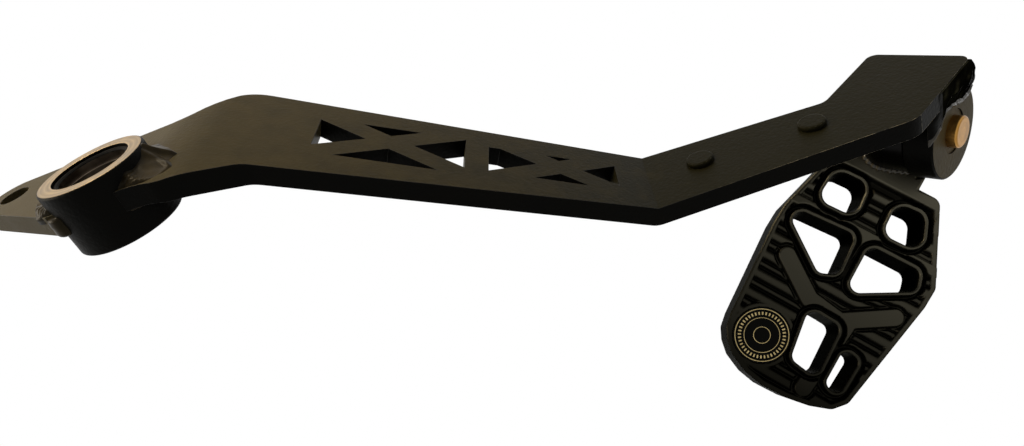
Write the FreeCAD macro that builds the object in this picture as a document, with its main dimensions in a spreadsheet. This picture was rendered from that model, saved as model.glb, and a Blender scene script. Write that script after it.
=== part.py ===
# Rear brake pedal: a bent steel arm on a pivot tube, with a grooved foot pad that swivels at its front end.
# The origin is on the pivot axis at the middle of the pivot tube. X runs forward along the arm,
# Y is the pivot axis and points inboard, and Z points up.
import FreeCAD, Part
import math
import os
import re
import Sketcher

V = FreeCAD.Vector
doc = FreeCAD.newDocument("rear_brake_pedal")
sheet = doc.addObject("Spreadsheet::Sheet", "dims")

SIZES = [
    # plate of the arm and its two folds
    ("plate_thick", 5.0),
    ("hub_length", 16.0),
    ("hub_outer", 26.0),
    ("plate_below_face", 4.25),
    ("fold_rear", 17.4),
    ("fold_angle", 30.0),
    ("slope_length", 116.0),
    ("fold_radius", 26.0),
    ("crease_inner", 1.0),
    ("crease_outer", 6.0),
    # ear for the push rod
    ("ear_back", 32.2),
    ("ear_drop", 13.6),
    ("ear_radius", 7.9),
    ("ear_hole", 7.5),
    ("ear_rise", 33.3),
    # edges of the arm, measured from the pivot axis along Z
    ("neck_bottom", 23.8),
    ("slope_bottom", 40.6),
    ("crease_bottom", 36.1),
    ("front_bottom", 33.9),
    ("slope_top", 1.6),
    ("crease_top", 8.6),
    ("front_top", 11.9),
    ("hub_shoulder", 10.4),
    ("flare_start", 4.4),
    ("flare_end", 8.2),
    ("waist_reach", 13.5),
    ("flare_radius", 8.0),
    ("waist_radius", 5.0),
    # flared head, square to the swivel axis
    ("head_angle", 46.0),
    ("head_width", 26.0),
    ("head_end", 117.8),
    ("head_near", 141.0),
    ("head_far", 169.4),
    ("head_root", 4.0),
    ("head_corner", 2.6),
    # truss cut-outs of the sloping part, measured back from the crease
    ("rear_panel_start", 87.0),
    ("rear_panel_middle", 68.5),
    ("rear_panel_end", 49.1),
    ("front_panel_start", 43.0),
    ("front_panel_middle", 24.2),
    ("front_panel_end", 8.8),
    ("truss_level", 23.3),
    ("rear_rail_far", 31.4),
    ("rear_rail_near", 12.2),
    ("front_rail_far", 28.9),
    ("front_rail_near", 15.6),
    ("strut_width", 6.3),
    ("strut_angle", 30.5),
    # studs in the front part
    ("stud_setback", 14.0),
    ("stud_pitch", 29.1),
    ("stud_level", 24.4),
    ("stud_head", 7.2),
    ("stud_height", 1.4),
    ("stud_shank", 4.6),
    ("stud_tail", 0.4),
    # pivot tube fittings
    ("hub_bore", 18.6),
    ("edge_break", 0.4),
    ("bush_bore", 15.0),
    ("seal_recess", 0.7),
    ("seal_thick", 2.2),
    ("seal_bore", 16.4),
    ("weld_leg", 2.4),
    # end flange, swivel knuckle and lock button
    ("flange_radius", 12.9),
    ("flange_length", 7.5),
    ("flange_across", 162.2),
    ("flange_setback", 1.7),
    ("flange_wall", 2.2),
    ("flange_weld_half", 10.0),
    ("flange_weld_reach", 4.6),
    ("flange_weld_proud", 1.4),
    ("socket_radius", 8.5),
    ("running_gap", 0.05),
    ("end_gap", 0.2),
    ("washer_thick", 0.8),
    ("knuckle_radius", 11.9),
    ("knuckle_length", 13.0),
    ("knuckle_dome", 5.5),
    ("pocket_radius", 6.1),
    ("button_radius", 4.25),
    ("button_gap", 0.08),
    ("button_proud", 2.4),
    ("button_travel", 2.0),
    ("shoulder_radius", 5.95),
    ("shoulder_thick", 0.7),
    ("waist_width", 4.4),
    ("recess_radius", 6.0),
    ("recess_depth", 1.1),
    ("tail_radius", 1.5),
    ("tail_length", 5.0),
    ("spring_radius", 2.5),
    ("spring_wire", 0.7),
    ("spring_length", 9.0),
    ("spring_turns", 5.0),
    ("ball_radius", 1.5),
    ("ball_depth", 5.0),
    ("ball_seat", 7.6),
    ("groove_radius", 9.4),
    # foot pad: its frame on the swivel, then its outline
    ("pad_tilt", 49.5),
    ("pad_yaw", 4.56),
    ("ridge_turn", 46.72),
    ("pad_drop", 10.45),
    ("pad_side", 4.5),
    ("pad_thick", 14.0),
    ("pad_half", 23.9),
    ("pad_half_end", 19.4),
    ("pad_widest", 37.8),
    ("pad_end", 83.2),
    ("pad_shoulder", 14.6),
    ("pad_corner", 3.0),
    ("trough_gap", 0.9),
    ("ring_width", 1.3),
    # foot pad: grooved face
    ("field_start", 17.6),
    ("groove_depth", 2.2),
    ("ridge_start", 21.1),
    ("ridge_pitch", 5.8),
    ("ridge_radius", 1.35),
    ("ridge_low", 0.3),
    ("rib_width", 1.6),
    ("web_level", 32.3),
    ("web_width", 3.2),
    ("rim_width", 0.9),
    ("rim_proud", 0.5),
    ("moat_width", 1.5),
    ("moat_depth", 3.0),
    ("branch_width", 4.6),
    ("badge_side", 9.8),
    ("badge_level", 70.9),
    ("badge_radius", 8.0),
    ("badge_thick", 0.8),
    ("badge_rim", 1.4),
]
for row, (alias, value) in enumerate(SIZES, start=1):
    sheet.set("A%d" % row, alias)
    sheet.set("B%d" % row, str(value))
    sheet.setAlias("B%d" % row, alias)
doc.recompute()


def cells(text):
    """Formula over the sheet: each size gets the sheet's name in front of its alias."""
    return re.sub(r"[a-z]+(_[a-z]+)+", lambda found: "dims." + found.group(0), text)


def worth(text):
    """Value of a formula, in millimetres or degrees."""
    return float(holder.evalExpression(cells(text)))


holder = doc.addObject("Part::Box", "formula_holder")


def plane_of(body, role):
    for feature in body.Origin.OriginFeatures:
        if feature.Role == role:
            return feature
    raise ValueError(role)


def new_body(label):
    body = doc.addObject("PartDesign::Body", label)
    body.Label = label
    return body


def polygon(sketch, corners):
    """Closed outline whose corners are pairs of formulas."""
    points = [V(worth(across), worth(along), 0) for across, along in corners]
    count = len(points)
    first = sketch.GeometryCount
    for index in range(count):
        sketch.addGeometry(Part.LineSegment(points[index], points[(index + 1) % count]), False)
    for index in range(count):
        sketch.addConstraint(Sketcher.Constraint("Coincident", first + index, 2, first + (index + 1) % count, 1))
    for index, pair in enumerate(corners):
        for kind, text in zip(("DistanceX", "DistanceY"), pair):
            number = sketch.addConstraint(Sketcher.Constraint(kind, first + index, 1, worth(text)))
            sketch.setExpression("Constraints[%d]" % number, cells(text))


def circle(sketch, across, along, radius):
    """Circle whose centre and radius are formulas."""
    index = sketch.addGeometry(Part.Circle(V(worth(across), worth(along), 0), V(0, 0, 1), worth(radius)), False)
    for kind, text in (("DistanceX", across), ("DistanceY", along)):
        number = sketch.addConstraint(Sketcher.Constraint(kind, index, 3, worth(text)))
        sketch.setExpression("Constraints[%d]" % number, cells(text))
    number = sketch.addConstraint(Sketcher.Constraint("Radius", index, worth(radius)))
    sketch.setExpression("Constraints[%d]" % number, cells(radius))


def body_sketch(body, name, role):
    sketch = body.newObject("Sketcher::SketchObject", name)
    sketch.AttachmentSupport = [(plane_of(body, role), "")]
    sketch.MapMode = "FlatFace"
    doc.recompute()
    return sketch


def raise_pad(body, sketch, length, both_ways=False):
    pad = body.newObject("PartDesign::Pad", "pad_" + sketch.Name)
    pad.Profile = sketch
    pad.setExpression("Length", cells(length))
    pad.Midplane = both_ways
    doc.recompute()
    return pad


def cut_through(body, sketch):
    """Cut right through the body, both ways from the sketch."""
    before = body.Shape.Volume
    pocket = body.newObject("PartDesign::Pocket", "cut_" + sketch.Name)
    pocket.Profile = sketch
    pocket.Type = "ThroughAll"
    pocket.Midplane = True
    doc.recompute()
    if body.Shape.Volume >= before:
        raise ValueError(sketch.Name + " cuts nothing")
    return pocket


def round_edges(body, name, radius, spots):
    """Fillet of the straight edges that run through the spots: (axis they follow, X, and Y or Z)."""
    base = body.Tip
    names = []
    for number, edge in enumerate(body.Shape.Edges, start=1):
        if len(edge.Vertexes) != 2:
            continue
        ends = [vertex.Point for vertex in edge.Vertexes]
        for axis, spot_x, spot_other in spots:
            others = [point.z if axis == "Y" else point.y for point in ends]
            if all(math.hypot(point.x - spot_x, other - spot_other) < 0.05 for point, other in zip(ends, others)):
                names.append("Edge%d" % number)
    fillet = body.newObject("PartDesign::Fillet", name)
    fillet.Base = (base, names)
    fillet.setExpression("Radius", cells(radius))
    doc.recompute()
    return fillet


def turned(label, corners, angle=360.0):
    """Turned piece: corners are (radius, height) formulas, spun about the local Z axis."""
    body = new_body(label)
    sketch = body_sketch(body, "section_" + label, "XZ_Plane")
    polygon(sketch, corners)
    spin = body.newObject("PartDesign::Revolution", "spin_" + label)
    spin.Profile = sketch
    spin.ReferenceAxis = (sketch, ["V_Axis"])
    spin.Angle = angle
    doc.recompute()
    return body


# Places shared by several pieces
PLATE_TOP = "(hub_length / 2 - plate_below_face)"
CREASE_X = "(fold_rear + slope_length * cos(fold_angle))"
STUD_X = "(%s + stud_setback)" % CREASE_X
FRONT_TOP = "(%s - slope_length * sin(fold_angle))" % PLATE_TOP
FOLD_SHIFT = "(plate_thick * tan(fold_angle / 2))"
ALONG_PIVOT = FreeCAD.Rotation(V(1, 0, 0), -90)


def head_spot(along, across):
    """X and Z formulas of a place given along and across the swivel axis."""
    place_x = "(%s) * cos(head_angle) + (%s) * sin(head_angle)" % (along, across)
    place_z = "(%s) * sin(head_angle) - (%s) * cos(head_angle)" % (along, across)
    return place_x, place_z


def swivel_frame():
    """Placement with its origin at the centre of the flange's face and Z along the swivel axis."""
    place_x, place_z = head_spot("head_end - flange_setback", "flange_across")
    place_y = "%s - plate_thick - flange_radius" % FRONT_TOP
    turn = math.radians(worth("head_angle"))
    axis = V(math.cos(turn), 0, math.sin(turn))
    return FreeCAD.Placement(V(worth(place_x), worth(place_y), worth(place_z)), FreeCAD.Rotation(V(0, 0, 1), axis))


def pad_frame():
    """Placement of the foot pad: local Z is the face's normal and local X is against the ridges' direction."""
    tilt, yaw, turn = [math.radians(worth(text)) for text in ("pad_tilt", "pad_yaw", "ridge_turn")]
    normal = V(math.sin(yaw), math.cos(tilt) * math.cos(yaw), math.sin(tilt) * math.cos(yaw))
    forward = V(1, 0, 0) - normal * normal.x
    forward.normalize()
    upward = forward.cross(normal)
    if upward.z < 0:
        upward = upward * -1
    ridge = forward * math.cos(turn) + upward * math.sin(turn)
    across = upward * math.cos(turn) - forward * math.sin(turn)
    base = swivel_frame().Base - normal * worth("pad_drop") - ridge * worth("pad_side")
    return FreeCAD.Placement(base, FreeCAD.Rotation(ridge * -1, across, normal, "ZXY"))


def arm_blank(body):
    """Side view of the folded plate, seen along Z: flat, sloping outboard, flat again."""
    sketch = body_sketch(body, "side_view", "XY_Plane")
    back = "-(ear_back + 2 * ear_radius)"
    front = "(head_end + head_far)"
    low = "-plate_thick"
    polygon(sketch, [
        (back, PLATE_TOP), ("fold_rear", PLATE_TOP), (CREASE_X, FRONT_TOP), (front, FRONT_TOP),
        (front, FRONT_TOP + low), (CREASE_X + "-" + FOLD_SHIFT, FRONT_TOP + low),
        ("fold_rear -" + FOLD_SHIFT, PLATE_TOP + low), (back, PLATE_TOP + low)])
    raise_pad(body, sketch, "4 * slope_bottom", both_ways=True)
    fold_x, fold_y = worth("fold_rear"), worth(PLATE_TOP)
    crease_x, crease_y = worth(CREASE_X), worth(FRONT_TOP)
    shift, thick = worth(FOLD_SHIFT), worth("plate_thick")
    round_edges(body, "fold_outside", "fold_radius", [("Z", fold_x, fold_y)])
    round_edges(body, "fold_inside", "fold_radius - plate_thick", [("Z", fold_x - shift, fold_y - thick)])
    round_edges(body, "crease_inside", "crease_inner", [("Z", crease_x, crease_y)])
    round_edges(body, "crease_outside", "crease_outer", [("Z", crease_x - shift, crease_y - thick)])


def arm_outline(body):
    """Cut the plate to its outline, seen along the pivot axis, and round the corners."""
    tangent_x = "-ear_back - ear_radius * sin(ear_rise)"
    tangent_z = "-ear_drop + ear_radius * cos(ear_rise)"
    shoulder_x = tangent_x + " + (hub_shoulder - (%s)) / tan(ear_rise)" % tangent_z
    head_rear = "(head_end - head_width)"
    root_across = "((%s * sin(head_angle) + front_bottom) / cos(head_angle))" % head_rear
    near_x, near_z = head_spot("head_end", "head_near")
    corners = [
        ("-ear_back", "-ear_drop - ear_radius"), ("fold_rear - flare_start", "-neck_bottom"),
        ("fold_rear + flare_end", "-slope_bottom"), (CREASE_X, "-crease_bottom"),
        head_spot(head_rear, root_across), head_spot(head_rear, "head_far"),
        head_spot("head_end", "head_far"), (near_x, near_z), (near_x + " - edge_break * 4", "-front_top"),
        (CREASE_X, "-crease_top"), ("fold_rear + waist_reach", "-slope_top"),
        ("fold_rear", "hub_shoulder"), (shoulder_x, "hub_shoulder"), (tangent_x, tangent_z)]
    sketch = body_sketch(body, "plan_view", "XZ_Plane")
    polygon(sketch, corners)
    wide, tall = "(3 * head_far)", "(3 * slope_bottom)"
    polygon(sketch, [("-" + wide, "-" + tall), (wide, "-" + tall), (wide, tall), ("-" + wide, tall)])
    cut_through(body, sketch)
    spots = [("Y", worth(across), worth(along)) for across, along in corners]
    round_edges(body, "flare_corners", "flare_radius", [spots[1], spots[2]])
    round_edges(body, "head_root_corner", "head_root", [spots[4]])
    round_edges(body, "head_far_corner", "head_corner", [spots[5]])
    round_edges(body, "waist_corners", "waist_radius", [spots[10]])
    ear = body_sketch(body, "ear_disc", "XZ_Plane")
    ear.setExpression("AttachmentOffset.Base.z", cells("-" + PLATE_TOP))
    circle(ear, "-ear_back", "-ear_drop", "ear_radius")
    before = body.Shape.Volume
    raise_pad(body, ear, "plate_thick")
    if body.Shape.Volume <= before:
        raise ValueError("the ear's disc adds nothing")


def truss_cell(sketch, start, middle, end, far_rail, near_rail, clipped=False):
    """Four triangles that leave two crossing struts between the rails of one panel."""
    rise = "strut_width / (2 * cos(strut_angle))"
    run = "strut_width / (2 * sin(strut_angle))"
    level = "-truss_level"

    def reach(edge):
        return "((%s) * tan(strut_angle) - %s)" % (edge, rise)

    rear, front = reach("%s - %s" % (start, middle)), reach("%s - %s" % (middle, end))
    rear_side = [("-%s - %s" % (middle, run), level)]
    if clipped:
        lean = "((%s - truss_level + %s) / tan(strut_angle))" % (far_rail, rise)
        rear_side += [("-%s - %s" % (middle, lean), "-" + far_rail), ("-" + start, "-" + far_rail)]
    else:
        rear_side += [("-" + start, "%s - %s" % (level, rear))]
    rear_side += [("-" + start, "%s + %s" % (level, rear))]
    polygon(sketch, rear_side)
    polygon(sketch, [("-%s + %s" % (middle, run), level), ("-" + end, "%s + %s" % (level, front)),
                     ("-" + end, "%s - %s" % (level, front))])
    for rail, sign in ((far_rail, "-"), (near_rail, "+")):
        depth = "(%s - truss_level)" % rail if sign == "-" else "(truss_level - %s)" % rail
        half = "((%s - %s) / tan(strut_angle))" % (depth, rise)
        polygon(sketch, [("-" + middle, "%s %s %s" % (level, sign, rise)),
                         ("-%s - %s" % (middle, half), "-" + rail), ("-%s + %s" % (middle, half), "-" + rail)])


def arm_truss(body):
    """Truss cut-outs, square to the sloping part of the plate."""
    sketch = body_sketch(body, "truss", "XZ_Plane")
    sketch.AttachmentOffset = FreeCAD.Placement(
        V(worth(CREASE_X), 0, -worth(FRONT_TOP)), FreeCAD.Rotation(V(0, 1, 0), -worth("fold_angle")))
    doc.recompute()
    truss_cell(sketch, "rear_panel_start", "rear_panel_middle", "rear_panel_end", "rear_rail_far", "rear_rail_near")
    truss_cell(sketch, "front_panel_start", "front_panel_middle", "front_panel_end",
               "front_rail_far", "front_rail_near", clipped=True)
    before = body.Shape.Volume
    pocket = body.newObject("PartDesign::Pocket", "cut_truss")
    pocket.Profile = sketch
    pocket.setExpression("Length", cells("3 * plate_thick"))
    pocket.Midplane = True
    doc.recompute()
    if body.Shape.Volume >= before:
        raise ValueError("the truss cuts nothing")


def pedal_arm():
    body = new_body("pedal_arm")
    arm_blank(body)
    arm_outline(body)
    holes = body_sketch(body, "holes", "XZ_Plane")
    circle(holes, "0", "0", "hub_outer / 2")
    circle(holes, "-ear_back", "-ear_drop", "ear_hole / 2")
    for step in range(2):
        circle(holes, STUD_X + " + %d * stud_pitch" % step, "-stud_level", "stud_shank / 2")
    cut_through(body, holes)
    arm_truss(body)
    return body


def along_pivot(body, x=0.0, y=0.0, z=0.0, start=0.0):
    """Stand a turned piece along Y; start turns its seam from X towards -Z."""
    body.Placement = FreeCAD.Placement(V(x, y, z), ALONG_PIVOT * FreeCAD.Rotation(V(0, 0, 1), start))
    return body


def ring(label, outer, inner, low, high, chamfer=None):
    """Plain turned ring between two heights, with its outer corners broken where asked."""
    if chamfer is None:
        corners = [(outer, low), (outer, high), (inner, high), (inner, low)]
    else:
        corners = [("%s - %s" % (outer, chamfer), low), (outer, "%s + %s" % (low, chamfer)),
                   (outer, "%s - %s" % (high, chamfer)), ("%s - %s" % (outer, chamfer), high),
                   (inner, high), (inner, low)]
    return turned(label, corners)


def pivot_group(arm):
    """Pivot tube, its bush and two seals, and the weld beads that hold the tube in the plate."""
    half = "hub_length / 2"
    outer = "hub_outer / 2"
    bore = "hub_bore / 2"
    bush_half = "(%s - seal_recess - seal_thick)" % half
    pieces = [
        ring("pivot_hub", outer, bore, "-" + half, half, "edge_break"),
        ring("pivot_bush", bore, "bush_bore / 2", "-" + bush_half, bush_half),
        ring("seal_inboard", bore, "seal_bore / 2", bush_half, "%s - seal_recess" % half),
        ring("seal_outboard", bore, "seal_bore / 2", "-%s + seal_recess" % half, "-" + bush_half)]
    lower = "(%s - plate_thick)" % PLATE_TOP
    shoulder = math.degrees(math.asin(worth("hub_shoulder * 2 / hub_outer")))
    span = math.degrees(math.pi) + 2 * shoulder
    for piece in pieces:
        along_pivot(piece)
    for label, level, sign, back in (("hub_weld_inboard", PLATE_TOP, "+", "-"), ("hub_weld_outboard", lower, "-", "+")):
        root = "%s %s weld_leg * 0.3" % (level, back)
        corners = [(outer, root), (outer + " + weld_leg", root), (outer + " + weld_leg", level),
                   (outer + " + weld_leg * 0.4", "%s %s weld_leg * 0.4" % (level, sign)),
                   (outer, "%s %s weld_leg" % (level, sign))]
        bead = along_pivot(turned(label + "_bead", corners, span), start=-shoulder)
        weld = joined("Part::Cut", label, bead, [arm])
        weld.Label = label
        pieces.append(weld)
    return pieces


def stud(label, place):
    """Riveted stud: a low round head on the inboard face, a shank through the plate and a peened tail."""
    head, shank = "stud_head / 2", "stud_shank / 2"
    body = turned(label, [
        ("0", "stud_height"), (head + " - edge_break", "stud_height"),
        (head, "stud_height - edge_break"), (head, "0"), (shank, "0"),
        (shank, "-plate_thick - stud_tail"), ("0", "-plate_thick - stud_tail")])
    return along_pivot(body, worth(place), worth(FRONT_TOP), -worth("stud_level"))


def in_swivel(body):
    body.Placement = swivel_frame()
    return body


def end_flange():
    """Round flange under the head: a face recess, a socket for the knuckle and a groove for the balls."""
    bore = "(button_radius + button_gap)"
    half = "(ball_radius + button_gap)"
    return in_swivel(turned("end_flange", [
        ("flange_radius - edge_break", "0"), ("flange_radius", "-edge_break"),
        ("flange_radius", "-flange_length"), ("socket_radius", "-flange_length"),
        ("socket_radius", "-ball_depth - " + half), ("groove_radius", "-ball_depth - " + half),
        ("groove_radius", "-ball_depth + " + half), ("socket_radius", "-ball_depth + " + half),
        ("socket_radius", "-flange_wall"), (bore, "-flange_wall"), (bore, "-recess_depth"),
        ("recess_radius", "-recess_depth"), ("recess_radius", "0")]))


def lock_button():
    """Brass plunger: a stepped head, a shoulder that stops it, a waist and a back-up land for the balls."""
    back = "(flange_wall + end_gap / 4)"
    land = "(ball_depth - shoulder_thick)"
    tail = "(ball_depth + shoulder_thick)"
    return in_swivel(turned("lock_button", [
        ("0", "button_proud"), ("button_radius - edge_break", "button_proud"),
        ("button_radius", "button_proud - edge_break"), ("button_radius", "-" + back),
        ("shoulder_radius", "-" + back), ("shoulder_radius", "-%s - shoulder_thick" % back),
        ("waist_width", "-%s - shoulder_thick" % back), ("waist_width", "-" + land),
        ("shoulder_radius", "-" + land), ("shoulder_radius", "-" + tail), ("tail_radius", "-" + tail),
        ("tail_radius", "-%s - tail_length" % tail), ("0", "-%s - tail_length" % tail)]))


def button_seal():
    """Rubber ring in the recess round the button."""
    return in_swivel(ring("button_seal", "recess_radius", "button_radius + button_gap", "-recess_depth",
                          "-recess_depth / 3"))


def thrust_washer():
    return in_swivel(ring("thrust_washer", "knuckle_radius - edge_break", "socket_radius",
                          "-flange_length - washer_thick", "-flange_length"))


def swivel_knuckle():
    """Knuckle behind the flange: a hollow spigot that turns in the socket and a domed barrel."""
    front = "(flange_length + washer_thick)"
    back = "(%s + knuckle_length)" % front
    spigot = "(socket_radius - running_gap)"
    bore = "(spring_radius + spring_wire)"
    depth = "(ball_depth + shoulder_thick + spring_length + button_travel + end_gap)"
    pocket = "(ball_depth + shoulder_thick + button_proud)"
    body = turned("swivel_knuckle", [
        (spigot, "-flange_wall - end_gap"), (spigot, "-" + front), ("knuckle_radius", "-" + front),
        ("knuckle_radius", "-" + back), ("0", "-" + back), ("0", "-" + depth),
        (bore, "-" + depth), (bore, "-" + pocket), ("pocket_radius", "-" + pocket),
        ("pocket_radius", "-flange_wall - end_gap")])
    rim = [number for number, edge in enumerate(body.Shape.Edges, start=1)
           if abs(edge.BoundBox.ZMax + worth(back)) < 0.01 and len(edge.Vertexes) == 1]
    base = body.Tip
    dome = body.newObject("PartDesign::Fillet", "dome")
    dome.Base = (base, ["Edge%d" % number for number in rim])
    dome.setExpression("Radius", cells("knuckle_dome"))
    doc.recompute()
    hole = body_sketch(body, "ball_hole", "XZ_Plane")
    circle(hole, "0", "-ball_depth", "ball_radius + button_gap / 2")
    before = body.Shape.Volume
    drill = body.newObject("PartDesign::Pocket", "drill_ball_hole")
    drill.Profile = hole
    drill.setExpression("Length", cells("socket_radius * 2"))
    doc.recompute()
    if body.Shape.Volume >= before:
        raise ValueError("the ball hole cuts nothing")
    pattern = body.newObject("PartDesign::PolarPattern", "three_ball_holes")
    pattern.Originals = [drill]
    pattern.Axis = (hole, ["V_Axis"])
    pattern.Angle = 360
    pattern.Occurrences = 3
    body.Tip = pattern
    doc.recompute()
    return in_swivel(body)


def lock_balls():
    """Three steel balls, one in each hole of the spigot, held out in the flange's groove."""
    frame = swivel_frame()
    balls = []
    for number in range(3):
        ball = doc.addObject("Part::Sphere", "ball_%d" % number)
        ball.setExpression("Radius", cells("ball_radius"))
        turn = FreeCAD.Rotation(V(0, 0, 1), 90 + 120 * number)
        spot = turn.multVec(V(worth("ball_seat"), 0, 0)) + V(0, 0, -worth("ball_depth"))
        ball.Placement = FreeCAD.Placement(frame.multVec(spot), FreeCAD.Rotation())
        balls.append(ball)
    group = doc.addObject("Part::Compound", "lock_balls")
    group.Label = "lock_balls"
    group.Links = balls
    doc.recompute()
    return group


def button_spring():
    """Round-wire coil behind the button's back-up land."""
    helix = doc.addObject("Part::Helix", "spring_line")
    helix.setExpression("Pitch", cells("(spring_length - spring_wire) / spring_turns"))
    helix.setExpression("Height", cells("spring_length - spring_wire"))
    helix.setExpression("Radius", cells("spring_radius"))
    wire = doc.addObject("Part::Circle", "spring_section")
    wire.setExpression("Radius", cells("spring_wire / 2"))
    wire.Placement = FreeCAD.Placement(V(worth("spring_radius"), 0, 0), FreeCAD.Rotation(V(1, 0, 0), 90))
    coil = doc.addObject("Part::Sweep", "button_spring")
    coil.Label = "button_spring"
    coil.Sections = [wire]
    coil.Spine = (helix, ["Edge1"])
    coil.Solid = True
    coil.Frenet = True
    doc.recompute()
    start = V(0, 0, -worth("ball_depth + shoulder_thick + spring_length - spring_wire / 2"))
    coil.Placement = swivel_frame() * FreeCAD.Placement(start, FreeCAD.Rotation())
    doc.recompute()
    return coil


def pad_sketch(name, corners):
    sketch = doc.addObject("Sketcher::SketchObject", name)
    polygon(sketch, corners)
    doc.recompute()
    return sketch


def grown(name, sketch, distance):
    """Outline grown by a distance with round corners."""
    offset = doc.addObject("Part::Offset2D", name)
    offset.Source = sketch
    offset.setExpression("Value", cells(distance))
    doc.recompute()
    return offset


def slab(name, profile, top, bottom):
    """Solid between two heights over a flat outline."""
    solid = doc.addObject("Part::Extrusion", name)
    solid.Base = profile
    solid.DirMode = "Custom"
    solid.Dir = V(0, 0, 1)
    solid.Solid = True
    solid.setExpression("LengthFwd", cells(top))
    solid.setExpression("LengthRev", cells("-(%s)" % bottom))
    doc.recompute()
    return solid


def joined(kind, name, first, others):
    """Boolean of one shape with others, as a document object."""
    if kind == "Part::Cut":
        tool = others[0]
        if len(others) > 1:
            tool = doc.addObject("Part::MultiFuse", name + "_tools")
            tool.Shapes = others
        result = doc.addObject("Part::Cut", name)
        result.Base = first
        result.Tool = tool
    else:
        result = doc.addObject(kind, name)
        result.Shapes = [first] + others
    doc.recompute()
    return result


# The face's outlines, with X in parts of pad_half and Y in parts of pad_end.
# Cores of the six openings: each opening is its core grown by a corner radius, in parts of pad_half.
OPENINGS = [
    ("hole_upper_left", 0.142, [(0.502, 0.276), (0.360, 0.274), (0.343, 0.315), (0.510, 0.317)]),
    ("hole_upper_right", 0.142, [(-0.301, 0.281), (-0.402, 0.279), (-0.460, 0.317), (-0.310, 0.319)]),
    ("hole_middle_left", 0.109, [(0.674, 0.447), (0.163, 0.437), (0.130, 0.531), (0.209, 0.541)]),
    ("hole_middle_right", 0.109, [(-0.238, 0.442), (-0.678, 0.440), (-0.703, 0.462), (-0.251, 0.541)]),
    ("slot_left", 0.109, [(-0.025, 0.726), (-0.218, 0.728), (-0.251, 0.852), (-0.100, 0.846)]),
    ("slot_right", 0.092, [(-0.561, 0.786), (-0.598, 0.788), (-0.594, 0.873), (-0.569, 0.870)]),
]
# Centre lines of the forked rib's arms and stem, and of the land between the two middle openings.
FORK = [
    ((0.623, 0.572), (0.151, 0.666)),
    ((0.151, 0.666), (-0.268, 0.683)),
    ((-0.268, 0.683), (-0.778, 0.584)),
    ((-0.301, 0.938), (-0.360, 0.688)),
]
BRIDGE = ((-0.059, 0.388), (-0.050, 0.451))
# Corners of the outer edge, set in by the corner radius.
OUTLINE = [
    (-0.473, 0.207), (-0.883, 0.445), (-0.883, 0.505), (-0.703, 0.894), (-0.623, 0.923),
    (-0.427, 0.945), (-0.176, 0.959), (0.117, 0.963), (0.318, 0.953), (0.515, 0.928),
    (0.628, 0.899), (0.695, 0.870), (0.724, 0.829), (0.828, 0.493), (0.824, 0.427),
    (0.649, 0.212), (0.460, 0.060), (0.209, 0.007), (-0.142, 0.007), (-0.163, 0.207),
]


def on_face(spots):
    """Formulas of places given in parts of the pad's half width and length."""
    return [("%.3f * pad_half" % x, "%.3f * pad_end" % y) for x, y in spots]


def bar(name, line, width, top, bottom):
    """Flat bar with round ends along a line on the face."""
    start, end = [(worth(x), worth(y)) for x, y in on_face(line)]
    length = math.hypot(end[0] - start[0], end[1] - start[1])
    turn = math.degrees(math.atan2(end[1] - start[1], end[0] - start[0]))
    place = FreeCAD.Placement(V(start[0], start[1], worth(bottom)), FreeCAD.Rotation(V(0, 0, 1), turn))
    middle = doc.addObject("Part::Box", name)
    middle.Length = length
    middle.setExpression("Width", cells(width))
    middle.setExpression("Height", cells("%s - (%s)" % (top, bottom)))
    middle.Placement = place * FreeCAD.Placement(V(0, -worth(width) / 2, 0), FreeCAD.Rotation())
    ends = []
    for number, (x, y) in enumerate((start, end)):
        cap = doc.addObject("Part::Cylinder", "%s_cap_%d" % (name, number))
        cap.setExpression("Radius", cells(width + " / 2"))
        cap.setExpression("Height", cells("%s - (%s)" % (top, bottom)))
        cap.Placement = FreeCAD.Placement(V(x, y, worth(bottom)), FreeCAD.Rotation())
        ends.append(cap)
    return [middle] + ends


def ridges():
    """Rounded ridges and flat ribs in turn, along local X."""
    pieces = []
    width = worth("2 * pad_half")
    for number in range(11):
        level = worth("ridge_start + %d * ridge_pitch" % number)
        ridge = doc.addObject("Part::Cylinder", "ridge_%d" % number)
        ridge.setExpression("Radius", cells("ridge_radius"))
        ridge.setExpression("Height", cells("2 * pad_half"))
        height = -worth("ridge_low + ridge_radius")
        ridge.Placement = FreeCAD.Placement(V(-width / 2, level, height), FreeCAD.Rotation(V(0, 1, 0), 90))
        rib = doc.addObject("Part::Box", "rib_%d" % number)
        rib.setExpression("Length", cells("2 * pad_half"))
        rib.setExpression("Width", cells("rib_width"))
        rib.setExpression("Height", cells("groove_depth - ridge_low"))
        middle = level + worth("(ridge_pitch - rib_width) / 2")
        rib.Placement = FreeCAD.Placement(V(-width / 2, middle, -worth("groove_depth")), FreeCAD.Rotation())
        pieces += [ridge, rib]
    return pieces


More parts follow.
